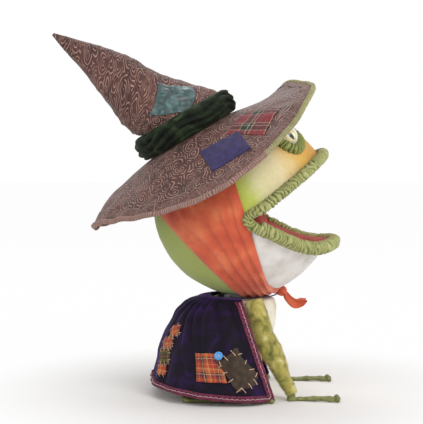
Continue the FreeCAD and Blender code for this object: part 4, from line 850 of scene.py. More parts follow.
@dataclass(frozen=True)
class GatheredCloth:
    """Cotton gathered on a cord, its colour set by each gather's height: painted highlight where it stands up
    and painted shade in the folds between.
    """

    name: str
    folds: Sequence[str]
    drift: float = 16.0

    def make(self) -> Material:
        """Builds the material."""
        s = Surface(self.name, Roughness=0.8, Sheen_Weight=0.2)
        t, where = s.tree, s.place()
        rib = add(t, "ShaderNodeAttribute", attribute_name="rib", attribute_type="GEOMETRY").outputs["Fac"]
        # the gathers' height sets the colour: painted shade in the folds, painted highlight on the crests
        painted_fold_shading = s.graded(rib,
                         [(0.0, self.folds[0]), (0.3, self.folds[1]), (0.62, self.folds[2]),
                          (1.0, self.folds[3])])
        s.relief(s.weave(where, 0.9), 0.08, 0.5)
        s.grain(where, 2.2, 3.0, 0.45, 0.6, 0.6)
        wash = s.mottle(where, self.drift, (self.folds[1], self.folds[3]), 0.25, 4.0)
        return s.colour(s.over(painted_fold_shading, wash, 0.3))


@dataclass(frozen=True)
class Plush:
    """Worn short-pile plush: matt fibres whose tips are paler than their roots."""

    name: str
    shades: Sequence[str]
    drift: float = 15.0

    def make(self) -> Material:
        """Builds the material."""
        s = Surface(self.name, Roughness=0.9, Sheen_Weight=0.4, Sheen_Roughness=0.5)
        where = s.place()
        s.grain(where, 2.6, 3.0, 0.9, 0.7)
        return s.colour(s.mottle(where, self.drift, self.shades, 0.22, 5.0, 0.6))


@dataclass(frozen=True)
class ModelledSkin:
    """Hand-modelled air-dry clay, painted and sealed: small dents and creases under a satin varnish."""

    name: str
    shades: Sequence[str]

    def make(self) -> Material:
        """Builds the material."""
        s = Surface(self.name, Roughness=0.5, Coat_Weight=0.15, Coat_Roughness=0.4)
        where = s.place()
        s.grain(where, 4, 4.0, 0.5, 0.7)
        return s.colour(s.mottle(where, 9, self.shades, 0.25, 4.0))


@dataclass(frozen=True)
class EyePaint:
    """A turned ball painted with enamel under clear gloss: cream white, a yellow ring and a black slit."""

    slit: Sequence[float] = (0.0075, 0.0026)
    slant: float = 0.0
    ball: float = 0.018

    def make(self) -> Material:
        """Builds the material; the ball's UV map is its front plane in metres."""
        s = Surface("glossy_eye_enamel", Roughness=0.28, Coat_Weight=0.8, Coat_Roughness=0.06)
        t = s.tree
        front = s.cloth()
        reach = add(t, "ShaderNodeVectorMath", [front], operation="LENGTH").outputs["Value"]
        turned = add(t, "ShaderNodeVectorRotate", {"Vector": front, "Angle": math.radians(self.slant)},
                     rotation_type="Z_AXIS")
        scaled = add(t, "ShaderNodeVectorMath", [turned, (1 / self.slit[0], 1 / self.slit[1], 0.0)],
                     operation="MULTIPLY")
        inside = add(t, "ShaderNodeVectorMath", [scaled], operation="LENGTH").outputs["Value"]
        slit = add(t, "ShaderNodeMapRange", {"Value": inside, "From Min": 1.06, "From Max": 0.94})
        away = add(t, "ShaderNodeMath", [reach, 1 / self.ball], operation="MULTIPLY")
        ball = s.graded(away, [(0.0, "#e9dfae"), (0.38, "#e8dcb0"), (0.5, "#cdb45a"), (0.56, "#efe9d4"),
                               (0.9, "#f4efe2"), (1.0, "#d9cfae")])
        s.grain(s.place(), 3, 2.0, 0.05, 0.4)
        return s.colour(s.over(ball, linear("#0d0b0a"), slit))


@dataclass(frozen=True)
class Thread:
    """Mercerised cotton embroidery thread: two plies twisted together, with a soft shine; its colour is
    darker in the grooves between the plies as painted shade.
    """

    name: str
    shades: Sequence[str]

    def make(self) -> Material:
        """Builds the material."""
        s = Surface(self.name, Roughness=0.55, Sheen_Weight=0.3)
        ply = add(s.tree, "ShaderNodeTexWave",
                  {"Vector": s.place(), "Scale": per(1.1 * BANDS), "Distortion": 3.0},
                  bands_direction="DIAGONAL")
        s.relief(ply, 0.15)
        # the ply height sets the colour: painted shade in the grooves between the plies
        return s.colour(s.graded(ply, [(0.1, self.shades[0]), (0.9, self.shades[1])]))


@dataclass(frozen=True)
class Plastic:
    """Injection-moulded plastic: one even colour with the fine spark-eroded grain of its mould."""

    name: str
    colour: str
    roughness: float = 0.45
    grain: float = 0.9

    def make(self) -> Material:
        """Builds the material."""
        s = Surface(self.name, Roughness=self.roughness, IOR=1.5)
        where = s.place()
        s.grain(where, self.grain, 2.0, 0.04, 0.5)
        flow = add(s.tree, "ShaderNodeTexNoise", {"Vector": where, "Scale": per(25), "Detail": 1.0})
        dim = add(s.tree, "ShaderNodeMapRange", {"Value": flow, "To Min": 0.92, "To Max": 1.05})
        base = add(s.tree, "ShaderNodeHueSaturation", {"Color": linear(self.colour), "Value": dim})
        return s.colour(base)


@dataclass(frozen=True)
class Metal:
    """Drawn or plated steel: bright, with fine lines along the way it was drawn."""

    name: str
    colour: str
    roughness: float = 0.32

    def make(self) -> Material:
        """Builds the material."""
        s = Surface(self.name, Roughness=self.roughness, Metallic=1.0)
        where = s.place()
        lines = add(s.tree, "ShaderNodeTexWave",
                    {"Vector": where, "Scale": per(1.0 * BANDS), "Distortion": 4.0},
                    bands_direction="Z")
        s.relief(lines, 0.02, 0.4)
        tone = s.mottle(where, 20, (self.colour, "#d8d8d4"), 0.6, 2.0)
        return s.colour(s.over(linear(self.colour), tone, 0.25))


@dataclass(frozen=True)
class Laminate:
    """Glass-epoxy circuit board: green solder lacquer, the copper tracks showing through it paler."""

    name: str = "circuit_laminate"

    def make(self) -> Material:
        """Builds the material."""
        s = Surface(self.name, Roughness=0.35, Coat_Weight=0.3)
        track = add(s.tree, "ShaderNodeTexBrick", {
            "Vector": s.place(), "Color1": linear("#1f6a3c"), "Color2": linear("#23753f"),
            "Mortar": linear("#3f9a5a"), "Scale": per(22), "Mortar Size": 0.03})
        return s.colour(track)


@dataclass
class Wardrobe:
    """All the finishes and node trees, made once."""

    made: dict = field(default_factory=dict)

    def __post_init__(self) -> None:
        """Mixes every finish."""
        red = [(0.0, "#82262f"), (0.12, "#151214"), (0.15, "#82262f"), (0.40, "#c4b294"), (0.425, "#151214"),
               (0.56, "#1d2f22"), (0.66, "#c4b294"), (0.69, "#151214"), (0.80, "#c4b294"), (0.83, "#6d2029")]
        bright = [(0.0, "#a83a26"), (0.22, "#c07a48"), (0.27, "#8c2e24"), (0.42, "#4a1830"),
                  (0.58, "#d8c49c"),
                  (0.61, "#2a3a26"), (0.72, "#b85a30"), (0.9, "#c98a50")]
        mustard = [(0.0, "#25361f"), (0.3, "#3f4a22"), (0.5, "#a87a3a"), (0.58, "#1f2c1c"), (0.85, "#8a3f24")]
        finishes = {
            "damask": Damask(),
            "binding": Damask(ground=("#55362f", "#6d4a43"), scroll=("#9a7367", "#b48b7e"), curl_size=13.0),
            # band and cape velvet: each list runs from near-black painted shade up to painted highlight
            "band": CrushedVelvet("crushed_velvet_moss", ("#050804", "#0c1209", "#1a2513", "#36432a"),
                                  "#5c6b3f", 22.0, 0.4),
            "cape": CrushedVelvet("crushed_velvet_plum", ("#0a0610", "#140a1e", "#2a1444"), "#7448a8", 34.0,
                                  0.7),
            "satin": Satin(),
            "tartan": Tartan("tartan_red", red, 40.0),
            "check": Tartan("tartan_orange", bright, 21.0),
            "mustard": Tartan("tartan_mustard", mustard, 12.0),
            "plum": Felt("wool_felt_plum", ("#150d34", "#261950", "#382767")),
            "brown": Felt("wool_felt_brown", ("#241a11", "#38291c", "#4c3b29")),
            "kerchief": PlainWeave("cotton_lawn_orange", ("#b8442a", "#cf5a36", "#e07a4c")),
            "throat": PlainWeave("stretch_cotton_white", ("#cfc8c2", "#e2ddd8", "#f0ece8"), 0.9, 24.0),
            "lining": PlainWeave("cotton_lining_rust", ("#7a1c0c", "#a8321a", "#c24a2a"), 0.9, 14.0, 0.0),
            # gathered finishes: each list runs from painted shade in the folds to painted highlight on the
            # gathers
            "lips": GatheredCloth("gathered_cotton_olive", ("#30341a", "#646a30", "#8a8f48", "#b2b476")),
            "lids": GatheredCloth("gathered_cotton_moss", ("#20280c", "#4c571e", "#737d32", "#9aa054")),
            "knit": GatheredCloth("rib_knit_olive", ("#38351d", "#69663a", "#8c8757", "#b0a97c"), 9.0),
            "cord": GatheredCloth("twisted_cord_black", ("#08070a", "#15121a", "#2a2430", "#453c4c"), 9.0),
            "edging": GatheredCloth("corded_edge_rose", ("#35211e", "#5e413b", "#846058", "#ab877b"), 9.0),
            "plush": Plush("short_pile_plush", ("#5f662e", "#a39c48", "#cabc68", "#e4daa8")),
            "hands": ModelledSkin("painted_clay_olive", ("#4e5022", "#74763a", "#9a9b5c")),
            "eyes": EyePaint(slant=38.0),
            # thread pairs: the first colour is the painted shade of the ply grooves
            "cream": Thread("embroidery_thread_cream", ("#b8876a", "#ecc4a4")),
            "hemline": Thread("hem_thread_taupe", ("#8a7266", "#b49c8c")),
            "rose": Thread("embroidery_thread_rose", ("#b88a90", "#ecd0cc")),
            "braidloop": Thread("gimp_loops_crimson", ("#4e1030", "#8c2854")),
            "pale": Thread("embroidery_thread_white", ("#b0a08c", "#efe6d8")),
            "braid": PlainWeave("gimp_braid_crimson", ("#35061c", "#5e0f33", "#801c48"), 1.4, 6.0, 0.02),
            "button": Plastic("polyester_button_blue", "#5aa0e0", 0.22, 3.0),
            "shell": Plastic("moulded_abs_black", "#26262a"),
            "carrier": Plastic("moulded_abs_grey", "#8d9096"),
            # near-black brown, so that the boards showing in the mouth pass for painted shadow
            "board": Plastic("moulded_abs_oxblood", "#2c120e", 0.6),
            "gears": Plastic("acetal_gear_black", "#1d1b1b", 0.35),
            "steel": Metal("drawn_steel", "#b5b6b8"),
            "can": Metal("plated_motor_can", "#a9abb0", 0.25),
            "cell": Plastic("printed_cell_jacket", "#3b4a3a", 0.3),
            "circuit": Laminate(),
        }
        self.made = {key: finish.make() for key, finish in finishes.items()}
        self.rolls, self.seams, self.pile = roll_tree(), stitch_tree(), pile_tree()

    def __getitem__(self, key: str) -> Material:
        """The finish with that short name."""
        return self.made[key]

    def dress(self, piece: Object, key: str) -> Object:
        """Gives a piece one finish."""
        piece.data.materials.clear()
        piece.data.materials.append(self.made[key])
        return piece

    def stitch(self, name: str, starts: Array, ends: Array, lifts: Array, key: str, thread: float,
               rise: float) -> Object:
        """Sews a set of stitches as one piece.

        Args:
            name: the piece's name.
            starts: where each stitch leaves the cloth, in millimetres.
            ends: where it goes back in.
            lifts: the cloth's normal at each stitch.
            key: the thread's finish.
            thread: the thread's radius in millimetres.
            rise: how far a stitch stands off the cloth, in millimetres.

        Returns:
            The piece.
        """
        count = len(starts)
        piece = write_mesh(name, np.concatenate([starts, ends]), [],
                           edges=[(i, i + count) for i in range(count)],
                           values={"lift": np.concatenate([lifts, lifts])})
        return grow(piece, self.seams, Thread=thread * MM, Rise=rise * MM, Material=self.made[key])

    def roll(self, name: str, path: Array, key: str, radius: float, pitch: float, depth: float,
             closed: bool = False, **extra: float) -> Object:
        """Makes a gathered roll or a cord along a path.

        Args:
            name: the piece's name.
            path: points of its middle line, in millimetres.
            key: its finish.
            radius: the roll's radius in millimetres.
            pitch: from gather to gather, in millimetres.
            depth: the gathers' depth in millimetres.
            closed: whether the path is a loop.
            extra: other inputs of the tree.

        Returns:
            The piece.
        """
        count = len(path)
        links = [(i, i + 1) for i in range(count - 1)] + ([(count - 1, 0)] if closed else [])
        return grow(write_mesh(name, path, [], edges=links), self.rolls, Radius=radius * MM,
                    Rib_Pitch=pitch * MM,
                    Rib_Depth=depth * MM, Material=self.made[key], **extra)


# ------------------------------------------------------------------ the figure


@dataclass
class Anatomy:
    """Where the frame's head and jaw hinge are, in millimetres."""

    centre: Array
    radius: float
    axis: Array

    @classmethod
    def measured(cls) -> "Anatomy":
        """Reads the head ball and the hinge from the frame."""
        low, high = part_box("head_shell")
        radius = -low.x / MM
        hinge = next(j for j in frame["joints"] if j["name"] == "jaw_swing")
        return cls(vec(0, 0, high.z / MM - radius), radius, np.array(hinge["pos_m"]) / MM)

    def mouth(self, angle: float, along: Numbers, side: Numbers, rise: Numbers) -> Array:
        """A point in a mouth plane that is tilted about the jaw hinge.

        Args:
            angle: the plane's tilt in degrees.
            along: distance ahead of the hinge.
            side: distance to the toad's left.
            rise: height over the plane.

        Returns:
            The point, or one for each value where arrays are given.
        """
        along, side, rise = np.broadcast_arrays(*[np.asarray(v, float) for v in (along, side, rise)])
        c, _, s = heading(angle)
        return np.stack([self.axis[0] + along * c - rise * s, side, self.axis[2] + along * s + rise * c],
                        axis=-1)

    def middle(self, angle: float) -> float:
        """How far ahead of the hinge the ball's centre lies in a mouth plane."""
        offset = self.centre - self.axis
        return offset[0] * math.cos(math.radians(angle)) + offset[2] * math.sin(math.radians(angle))


def settle(piece: Object, body: Body, slot: str, *nodes: str) -> Object:
    """Puts a finished piece on its body.

    Args:
        piece: the piece.
        body: the rigid body that carries it.
        slot: the record's material slot; not used.
        nodes: the CAD nodes that it stands for.

    Returns:
        The piece.
    """
    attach(piece, body.value)
    if nodes:
        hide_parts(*nodes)
    log.info("%s: %d faces on %s", piece.name, len(piece.data.polygons), body.value)
    return piece


def span(piece: Object, start: Array, end: Array, slot: str, *nodes: str) -> Object:
    """Leaves a finished piece across the jaw's hinge, its transform baked into its mesh.

    Args:
        piece: the piece.
        start: where it still moves with the head, in millimetres; not used.
        end: where it moves with the jaw; not used.
        slot: the record's material slot; not used.
        nodes: the CAD nodes that it stands for.

    Returns:
        The piece.
    """
    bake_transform(piece)
    if nodes:
        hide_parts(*nodes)
    log.info("%s: %d faces between head and jaw", piece.name, len(piece.data.polygons))
    return piece


def ball_ways(lat: Array, count: int) -> Array:
    """Directions over a ball, from ahead to behind: a row for each angle from ahead, so many round each."""
    lat, lon = lat[:, None], whole_turn(count)[None, :]
    return np.stack([np.cos(lat) + 0 * lon, np.sin(lat) * np.cos(lon), np.sin(lat) * np.sin(lon)], axis=-1)


def flatten(points: Array, wrapped: bool = False) -> Array:
    """The flat cut of a grid of points: how far each lies along its row and along its column."""
    across = np.linalg.norm(np.diff(points, axis=1, append=points[:, :1]), axis=2)
    across = np.concatenate([np.zeros((len(points), 1)), np.cumsum(across, axis=1)], axis=1)
    if not wrapped:
        across = across[:, :-1]
        across = across - across[:, across.shape[1] // 2: across.shape[1] // 2 + 1]
    down = np.linalg.norm(np.diff(points, axis=0), axis=2).mean(axis=1)
    down = np.concatenate([[0], np.cumsum(down)])
    return np.stack([across, np.repeat(down[:, None], across.shape[1], axis=1)], axis=-1)


def cut_ball(name: str, centre: Array, radius: Callable[[Array], Array], keep: Callable[[Array], Array],
             planes: Sequence[tuple[Array, Array]], wall: float, detail: int = 6) -> Object:
    """Makes part of a padded ball as a closed shell.

    Args:
        name: the piece's name.
        centre: the ball's centre.
        radius: gives the radius for each direction.
        keep: tells for each place whether it stays.
        planes: the planes that bound what stays, each a point and a normal, so that its edges are clean.
        wall: the shell's thickness.
        detail: how often the ball is subdivided.

    Returns:
        The piece.
    """
    work = bmesh.new()
    bmesh.ops.create_icosphere(work, subdivisions=detail, radius=1.0)
    for vertex in work.verts:
        vertex.co = Vector(centre + np.array(vertex.co) * float(radius(np.array(vertex.co)))) * MM
    for point, normal in planes:
        parts = list(work.verts) + list(work.edges) + list(work.faces)
        bmesh.ops.bisect_plane(work, geom=parts, plane_co=Vector(point) * MM, plane_no=Vector(normal))
    gone = [f for f in work.faces if not keep(np.array(f.calc_center_median()) / MM)]
    bmesh.ops.delete(work, geom=gone, context="FACES")
    layer = work.loops.layers.uv.new("cloth")
    for face in work.faces:
        for loop in face.loops:
            x, y, z = loop.vert.co - Vector(centre) * MM
            loop[layer].uv = (math.atan2(y, x + 0.3) * 0.125, z)
    mesh = bpy.data.meshes.new(name)
    work.to_mesh(mesh)
    work.free()
    mesh.polygons.foreach_set("use_smooth", [True] * len(mesh.polygons))
    piece = bpy.data.objects.new(name, mesh)
    bpy.context.scene.collection.objects.link(piece)
    solid = piece.modifiers.new("wall", "SOLIDIFY")
    solid.thickness, solid.offset = wall * MM, -1.0
    return bake(piece)


@dataclass
class Head:
    """The foam-filled ball head in its stretch-cotton skin, its throat, and the rolled lips and linings."""

    body: Anatomy
    upper_angle: float = 37.4
    lower_angle: float = -28.0
    lip_radius: float = 7.0
    upper_reach: float = 130.0
    upper_rise: float = 2.3
    lower_reach: float = 136.0
    lower_width: float = 127.0
    lower_drop: float = 8.5
    chin_lift: float = 25.0
    lip_start: float = 17.0
    split: float = 6.0
    seam_angle: float = 16.6
    seam_drop: float = 16.5

    def lip_paths(self) -> tuple[Array, Array]:
        """The middle lines of the upper and the lower lip, from the toad's left to its right."""
        up = self.body.middle(self.upper_angle)
        reach = math.acos((self.lip_start - up) / self.upper_reach)
        t = np.linspace(reach, -reach, 160)
        upper = self.body.mouth(self.upper_angle, up + self.upper_reach * np.cos(t),
                                self.upper_reach * np.sin(t), self.upper_rise)
        down = self.body.middle(self.lower_angle)
        reach = math.acos((self.lip_start - down) / self.lower_reach)
        t = np.linspace(reach, -reach, 160)
        lower = self.body.mouth(self.lower_angle, down + self.lower_reach * np.cos(t),
                                self.lower_width * np.sin(t),
                                self.chin_lift * np.cos(t) ** 6 - self.lower_drop)
        return upper, lower

    def build(self, w: Wardrobe) -> None:
        """Makes the ball, the throat, the lips and the mouth's inside."""
        self.ball(w)
        self.throat(w)
        self.lips(w)
        self.linings(w)

    def ball(self, w: Wardrobe) -> None:
        """The ball's skin, open at the mouth."""
        c = self.body.centre
        roof = self.body.mouth(self.upper_angle, 0, 0, self.upper_rise + self.lip_radius * 0.6)
        up = heading(90 + self.upper_angle)
        back = self.body.mouth(self.upper_angle, -3, 0, 0)
        forward = heading(self.upper_angle)

        def radius(way: Array) -> float:
            """The skin's radius in one direction."""
            spot = c + way * self.body.radius
            crease = undulate(spot, 46, 5) * 0.55 + undulate(spot, 15, 6) * 0.18
            return self.body.radius - 0.5 + crease

        def keep(spot: Array) -> bool:
            """Whether the skin stays at a place."""
            in_upper = (spot - roof) @ up < 0 and (spot - back) @ forward > 0
            in_lower = spot[0] > self.split and spot[2] < self.body.axis[2]
            return not (in_upper or in_lower)

        planes = [(roof, up), (back, forward), (vec(self.split, 0, 0), vec(1, 0, 0)),
                  (self.body.axis, vec(0, 0, 1))]
        piece = cut_ball("head_skin", c, radius, keep, planes, 2.0)
        w.dress(piece, "skin")
        settle(piece, Body.HEAD, "painted_skin", "head_shell")

    def throat(self, w: Wardrobe) -> None:
        """The white throat, sewn to the lower lip and tucked in under the kerchief."""
        c, radius0 = self.body.centre, self.body.radius
        seam = self.body.mouth(self.lower_angle, 0, 0, -self.seam_drop)
        rise = heading(90 - self.seam_angle)
        back = self.split - 26.0

        def radius(way: Array) -> float:
            """The skin's radius in one direction."""
            spot = c + way * radius0
            tuck = 1 / (1 + math.exp((spot[0] - self.split - 3.0) / 1.6))
            crease = undulate(spot, 38, 15) * 0.6 + undulate(spot, 12, 16) * 0.15
            return radius0 - 0.4 - 4.0 * tuck + crease * (1 - tuck)

        def keep(spot: Array) -> bool:
            """Whether the skin stays at a place."""
            return spot[0] > back and (spot - seam) @ rise < 2.0 and math.hypot(spot[0], spot[1]) > 27.0

        piece = cut_ball("throat_skin_cloth", c, radius, keep,
                         [(seam + rise * 2.0, rise), (vec(back, 0, 0), vec(1, 0, 0))], 1.2)
        w.dress(piece, "throat")
        span(piece, seam - rise * 66.0, seam - rise * 7.0, "throat_cloth", "throat_skin")

    def lips(self, w: Wardrobe) -> None:
        """Both lips, and the soft folded corners that join them at the hinge."""
        upper, lower = self.lip_paths()
        top = w.roll("upper_lip_roll", upper, "lips", self.lip_radius + 0.4, 5.4, 2.7, Seed=1.0,
                     Unevenness=1.3)
        settle(top, Body.HEAD, "lip_cloth", "upper_lip")
        low = w.roll("lower_lip_roll", lower + vec(0, 0, 4.0), "lips", self.lip_radius + 1.6, 5.4, 2.8,
                     Seed=2.0, Unevenness=1.3)
        settle(low, Body.JAW, "lip_cloth", "lower_lip")
        corners = []
        for end, side in ((0, 1), (-1, -1)):
            step = 1 if end == 0 else -1
            a, b = upper[end], lower[end]
            ahead_a, ahead_b = upper[end + 4 * step], lower[end + 4 * step]
            tip = self.body.axis + vec(-5.5, side * (self.body.radius + 1.0), -1.0)
            path = resample(np.array([ahead_a, a, tip + vec(7, 0, 8.0), tip, tip + vec(6.5, 0, -8.0), b,
                                      ahead_b]), 60)
            corners.append(w.roll(f"corner_{end}", path, "lips", self.lip_radius, 5.6, 2.2, Seed=3.0 + side))
        fold = join("mouth_corner_folds", corners)
        reach = vec(0, 0, 9)
        span(fold, self.body.axis + reach, self.body.axis - reach, "lip_cloth", "mouth_corners")

    def dish(self, angle: float, reach: float, width: float, rim: Callable, deep: float, tilt: float,
             start: float, side: float) -> Cloth:
        """A lining laid in a mouth plane, drawn up to the lip at its rim.

        Args:
            angle: the mouth plane's tilt.
            reach: the lining's half length along the plane.
            width: its half width.
            rim: the rim's height over the plane for each angle round the lip.
            deep: the height at the hinge.
            tilt: how much the height grows ahead of the hinge.
            start: how far ahead of the hinge the lining begins.
            side: 1 where its outer side faces down.

        Returns:
            The cloth.
        """
        middle = self.body.middle(angle)
        t = np.linspace(math.pi / 2, -math.pi / 2, 121)
        share = np.linspace(0.02, 1, 42)[:, None]
        along = start + (np.maximum(middle + reach * np.cos(t), start + 1) - start) * share
        across = width * np.sin(t) * np.ones_like(share)
        across = across * (0.25 + 0.75 * share ** 0.5)
        lift = share ** 4
        rise = (deep + tilt * along) * (1 - lift) + rim(t)[None, :] * lift
        points = self.body.mouth(angle, along, across, rise)
        crease = undulate(points, 26, 31) * 0.6 + np.abs(undulate(points, 9, 32)) * 0.5
        cloth = Cloth(points, flatten(points), False, side)
        return cloth.lifted(crease * (1 - share ** 6))

    def linings(self, w: Wardrobe) -> None:
        """The rust-red cloth inside the mouth: roof, floor, and the curtain across the gullet."""
        roof = self.dish(self.upper_angle, self.upper_reach - 6, self.upper_reach - 8, lambda t: 0 * t + 1.5,
                         2.6, 0.0, 14.0, 1.0)
        piece = w.dress(roof.shell("mouth_roof_lining", 0.8), "lining")
        settle(piece, Body.HEAD, "mouth_lining", "palate_lining")
        rim = lambda t: self.chin_lift * np.cos(t) ** 6 - self.lower_drop + 6.0
        floor = self.dish(self.lower_angle, self.lower_reach - 4, self.lower_width - 5, rim, -12.6, 0.158,
                          20.0, 1.0)
        piece = w.dress(floor.shell("mouth_floor_lining", 0.8), "lining")
        settle(piece, Body.JAW, "mouth_lining", "jaw_lining")

        y = np.linspace(-120, 120, 130)[None, :]
        t = np.linspace(0, 1, 30)[:, None]
        high = self.body.mouth(self.upper_angle, 20, 0, 3)
        low = self.body.mouth(self.lower_angle, 30, 0, -8)
        cheek = np.clip((np.abs(y) - 88) / 30, 0, 1) ** 1.5
        wide = (1 - (y / 150) ** 2) * (1 - cheek)
        near = self.body.axis + vec(-1, 0, 0)
        x = (high[0] + (low[0] - high[0]) * t) * (1 - cheek) + near[0] * cheek + 3 * np.sin(np.pi * t) * wide
        z = (high[2] + (low[2] - high[2]) * t) * (1 - cheek) + (near[2] + 9 - 18 * t) * cheek
        points = np.stack([x, y + 0 * t, z], axis=-1)
        cloth = Cloth(points, flatten(points))
        cloth = cloth.lifted(1.2 * np.sin(y / 4.4 + undulate(points, 50, 33)))
        piece = w.dress(cloth.shell("mouth_curtain", 0.8), "lining")
        span(piece, high, low, "mouth_lining")


@dataclass
class Eyes:
    """Enamelled balls set into the brow, each ringed by a gathered lid."""

    body: Anatomy
    place: Sequence[float] = (54.0, 58.0, 94.0)
    depth: float = 2.0
    radius: float = 18.0
    lid_ring: float = 21.0
    lid_radius: float = 6.2
    lid_sag: float = 4.5

    def build(self, w: Wardrobe) -> None:
        """Makes both eyes and both lids."""
        for word, side in SIDES:
            out = unit(vec(self.place[0], side * self.place[1], self.place[2]))
            seat = self.body.centre + out * (self.body.radius - self.depth)
            gaze = unit(vec(0.46, side * 0.86, 0.16))
            self.ball(word, seat, gaze, side, w)
            across = unit(np.cross(out, vec(0, 0, 1)))
            up = np.cross(across, out)
            t = whole_turn(90)[:, None]
            droop = 1 + 0.05 * np.sin(3 * t)
            ring = (across * np.cos(t) + up * np.sin(t)) * self.lid_ring * droop
            path = seat + out * 3 - up * self.lid_sag + ring
            lid = w.roll(f"{word}_lid_roll", path, "lids", self.lid_radius + 0.4, 4.0, 2.2, closed=True,
                         Seed=5.0 + side)
            settle(lid, Body.HEAD, "lid_cloth", f"{word}_eyelid")

    def ball(self, word: str, seat: Array, gaze: Array, side: float, w: Wardrobe) -> None:
        """One eye as a turned ball whose UV map is its front plane."""
        across = unit(np.cross(gaze, vec(0, 0, 1))) * side
        up = unit(np.cross(across, gaze)) * side
        lat = np.linspace(0.001, math.pi - 0.001, 60)
        lon = whole_turn(96)
        ways = (np.cos(lat)[:, None, None] * gaze + np.sin(lat)[:, None, None]
                * (np.cos(lon)[None, :, None] * across + np.sin(lon)[None, :, None] * up))
        points = seat + ways * self.radius
        turn = np.linspace(0, TAU, 97)
        reach = self.radius * lat[:, None]
        flat = np.stack([reach * np.cos(turn), reach * np.sin(turn)], axis=-1)
        piece = capped(Cloth(points, flat, True), f"{word}_eye_ball")
        w.dress(piece, "eyes")
        settle(piece, Body.HEAD, "eye_paint", f"{word}_eye")


@dataclass
class Kerchief:
    """The cotton kerchief: a square folded in pleats over the head, drawn under the chin and tied."""

    body: Anatomy
    front_angle: float = 17.5
    front_offset: float = -1.5
    rear_angle: float = 44.0
    rear_offset: float = -89.0
    stand_off: float = 1.0
    thickness: float = 0.9
    pleats: float = 5.0
    knot_angle: float = -66.0
    knot_radius: float = 8.0
    neck_room: float = 27.2
    chin_sweep: float = 17.0

    def build(self, w: Wardrobe) -> None:
        """Makes the cloth, then the knot with its tails."""
        self.cloth(w)
        self.knot(w)

    def cloth(self, w: Wardrobe) -> None:
        """The pleated cloth over the head."""
        s = np.linspace(0, 1, 90)[:, None]
        psi = whole_turn(300)[None, :]
        angle = np.radians(self.front_angle + (self.rear_angle - self.front_angle) * s)
        wrap = np.minimum(psi, TAU - psi)
        sweep = self.chin_sweep * np.exp(-((wrap / 0.36) ** 2))
        offset = self.front_offset + sweep + (self.rear_offset - self.front_offset - sweep) * s
        radius = self.body.radius + self.stand_off
        hoop = np.sqrt(radius**2 - offset**2)
        near = (1 + np.cos(psi)) / 2
        way = np.stack([np.cos(angle), 0 * angle, np.sin(angle)], axis=-1)
        down = np.stack([np.sin(angle), 0 * angle, -np.cos(angle)], axis=-1)
        side = vec(0, -1, 0)
        points = (self.body.centre + way * offset[..., None] + down * (hoop * np.cos(psi))[..., None]
                  + side * (hoop * np.sin(psi))[..., None])
        rough = undulate(points, 60, 41)
        phase = s * self.pleats + 0.16 * rough + 0.12 * np.sin(psi * 2)
        saw = phase - np.floor(phase)
        knife = np.where(saw < 0.78, saw / 0.78, (1 - saw) / 0.22)
        knife = knife * knife * (3 - 2 * knife)
        depth = 0.5 + 3.2 * near**1.3
        height = knife * depth + undulate(points, 22, 42) * 0.35 * (0.4 + near) + 0.4
        hem = np.minimum(1, np.minimum(s, 1 - s) * 14)
        height = height * (0.35 + 0.65 * hem)
        out = unit(points - self.body.centre)
        points = points + out * height[..., None]
        flat_r = np.hypot(points[..., 0], points[..., 1])
        push = np.maximum(0, self.neck_room + 1 - flat_r) * (points[..., 2] < self.body.centre[2] - 60)
        points[..., 0] += push * np.where(points[..., 0] > -5, 1.0, 0.0)
        grid = Cloth(points, flatten(points, True), True)
        grid.face(out)
        piece = w.dress(grid.shell("kerchief_cloth", self.thickness), "kerchief")
        settle(piece, Body.HEAD, "scarf_cotton", "head_scarf")

    def knot(self, w: Wardrobe) -> None:
        """The knot under the chin and its two tails."""
        seat = self.body.centre + heading(self.knot_angle) * (self.body.radius + self.knot_radius * 0.75)
        lat = np.linspace(0.01, math.pi - 0.01, 50)[:, None]
        lon = whole_turn(80)[None, :]
        way = ball_ways(lat[:, 0], lon.size)
        ridge = np.abs(np.sin(lon * 2.5 + lat * 2.2)) ** 0.7
        size = self.knot_radius * (0.86 + 0.2 * ridge)
        points = seat + way * size[..., None] * vec(0.95, 1.12, 0.92)
        ball = capped(Cloth(points, flatten(points, True), True), "knot_ball")
        parts = [ball]
        for side in (1, -1):
            start = seat + vec(4, side * 3, -1)
            run = np.array([start, start + vec(7, side * 2, -11), start + vec(16, side * 5, -17),
                            start + vec(31, side * 9, -12)])
            line = resample(run, 40)
            t = np.linspace(0, 1, 40)
            half = np.interp(t, [0, 0.2, 0.55, 0.85, 1], [2.5, 4.5, 6.5, 4.5, 0.6])
            way = unit(np.gradient(line, axis=0))
            across = unit(np.cross(way, vec(0.15, 1, 0.2 * side)))
            up = np.cross(across, way)
            v = np.linspace(-1, 1, 26)[None, :, None]
            fold = np.sin(v * 3.0 + t[:, None, None] * 3.0 + side) * (1.8 - 0.6 * t[:, None, None])
            strip = line[:, None, :] + across[:, None, :] * v * half[:, None, None] + up[:, None, :] * fold
            parts.append(Cloth(strip, flatten(strip)).shell(f"tail_{side}", self.thickness))
        piece = w.dress(join("kerchief_knot", parts), "kerchief")
        settle(piece, Body.HEAD, "scarf_cotton", "scarf_knot")


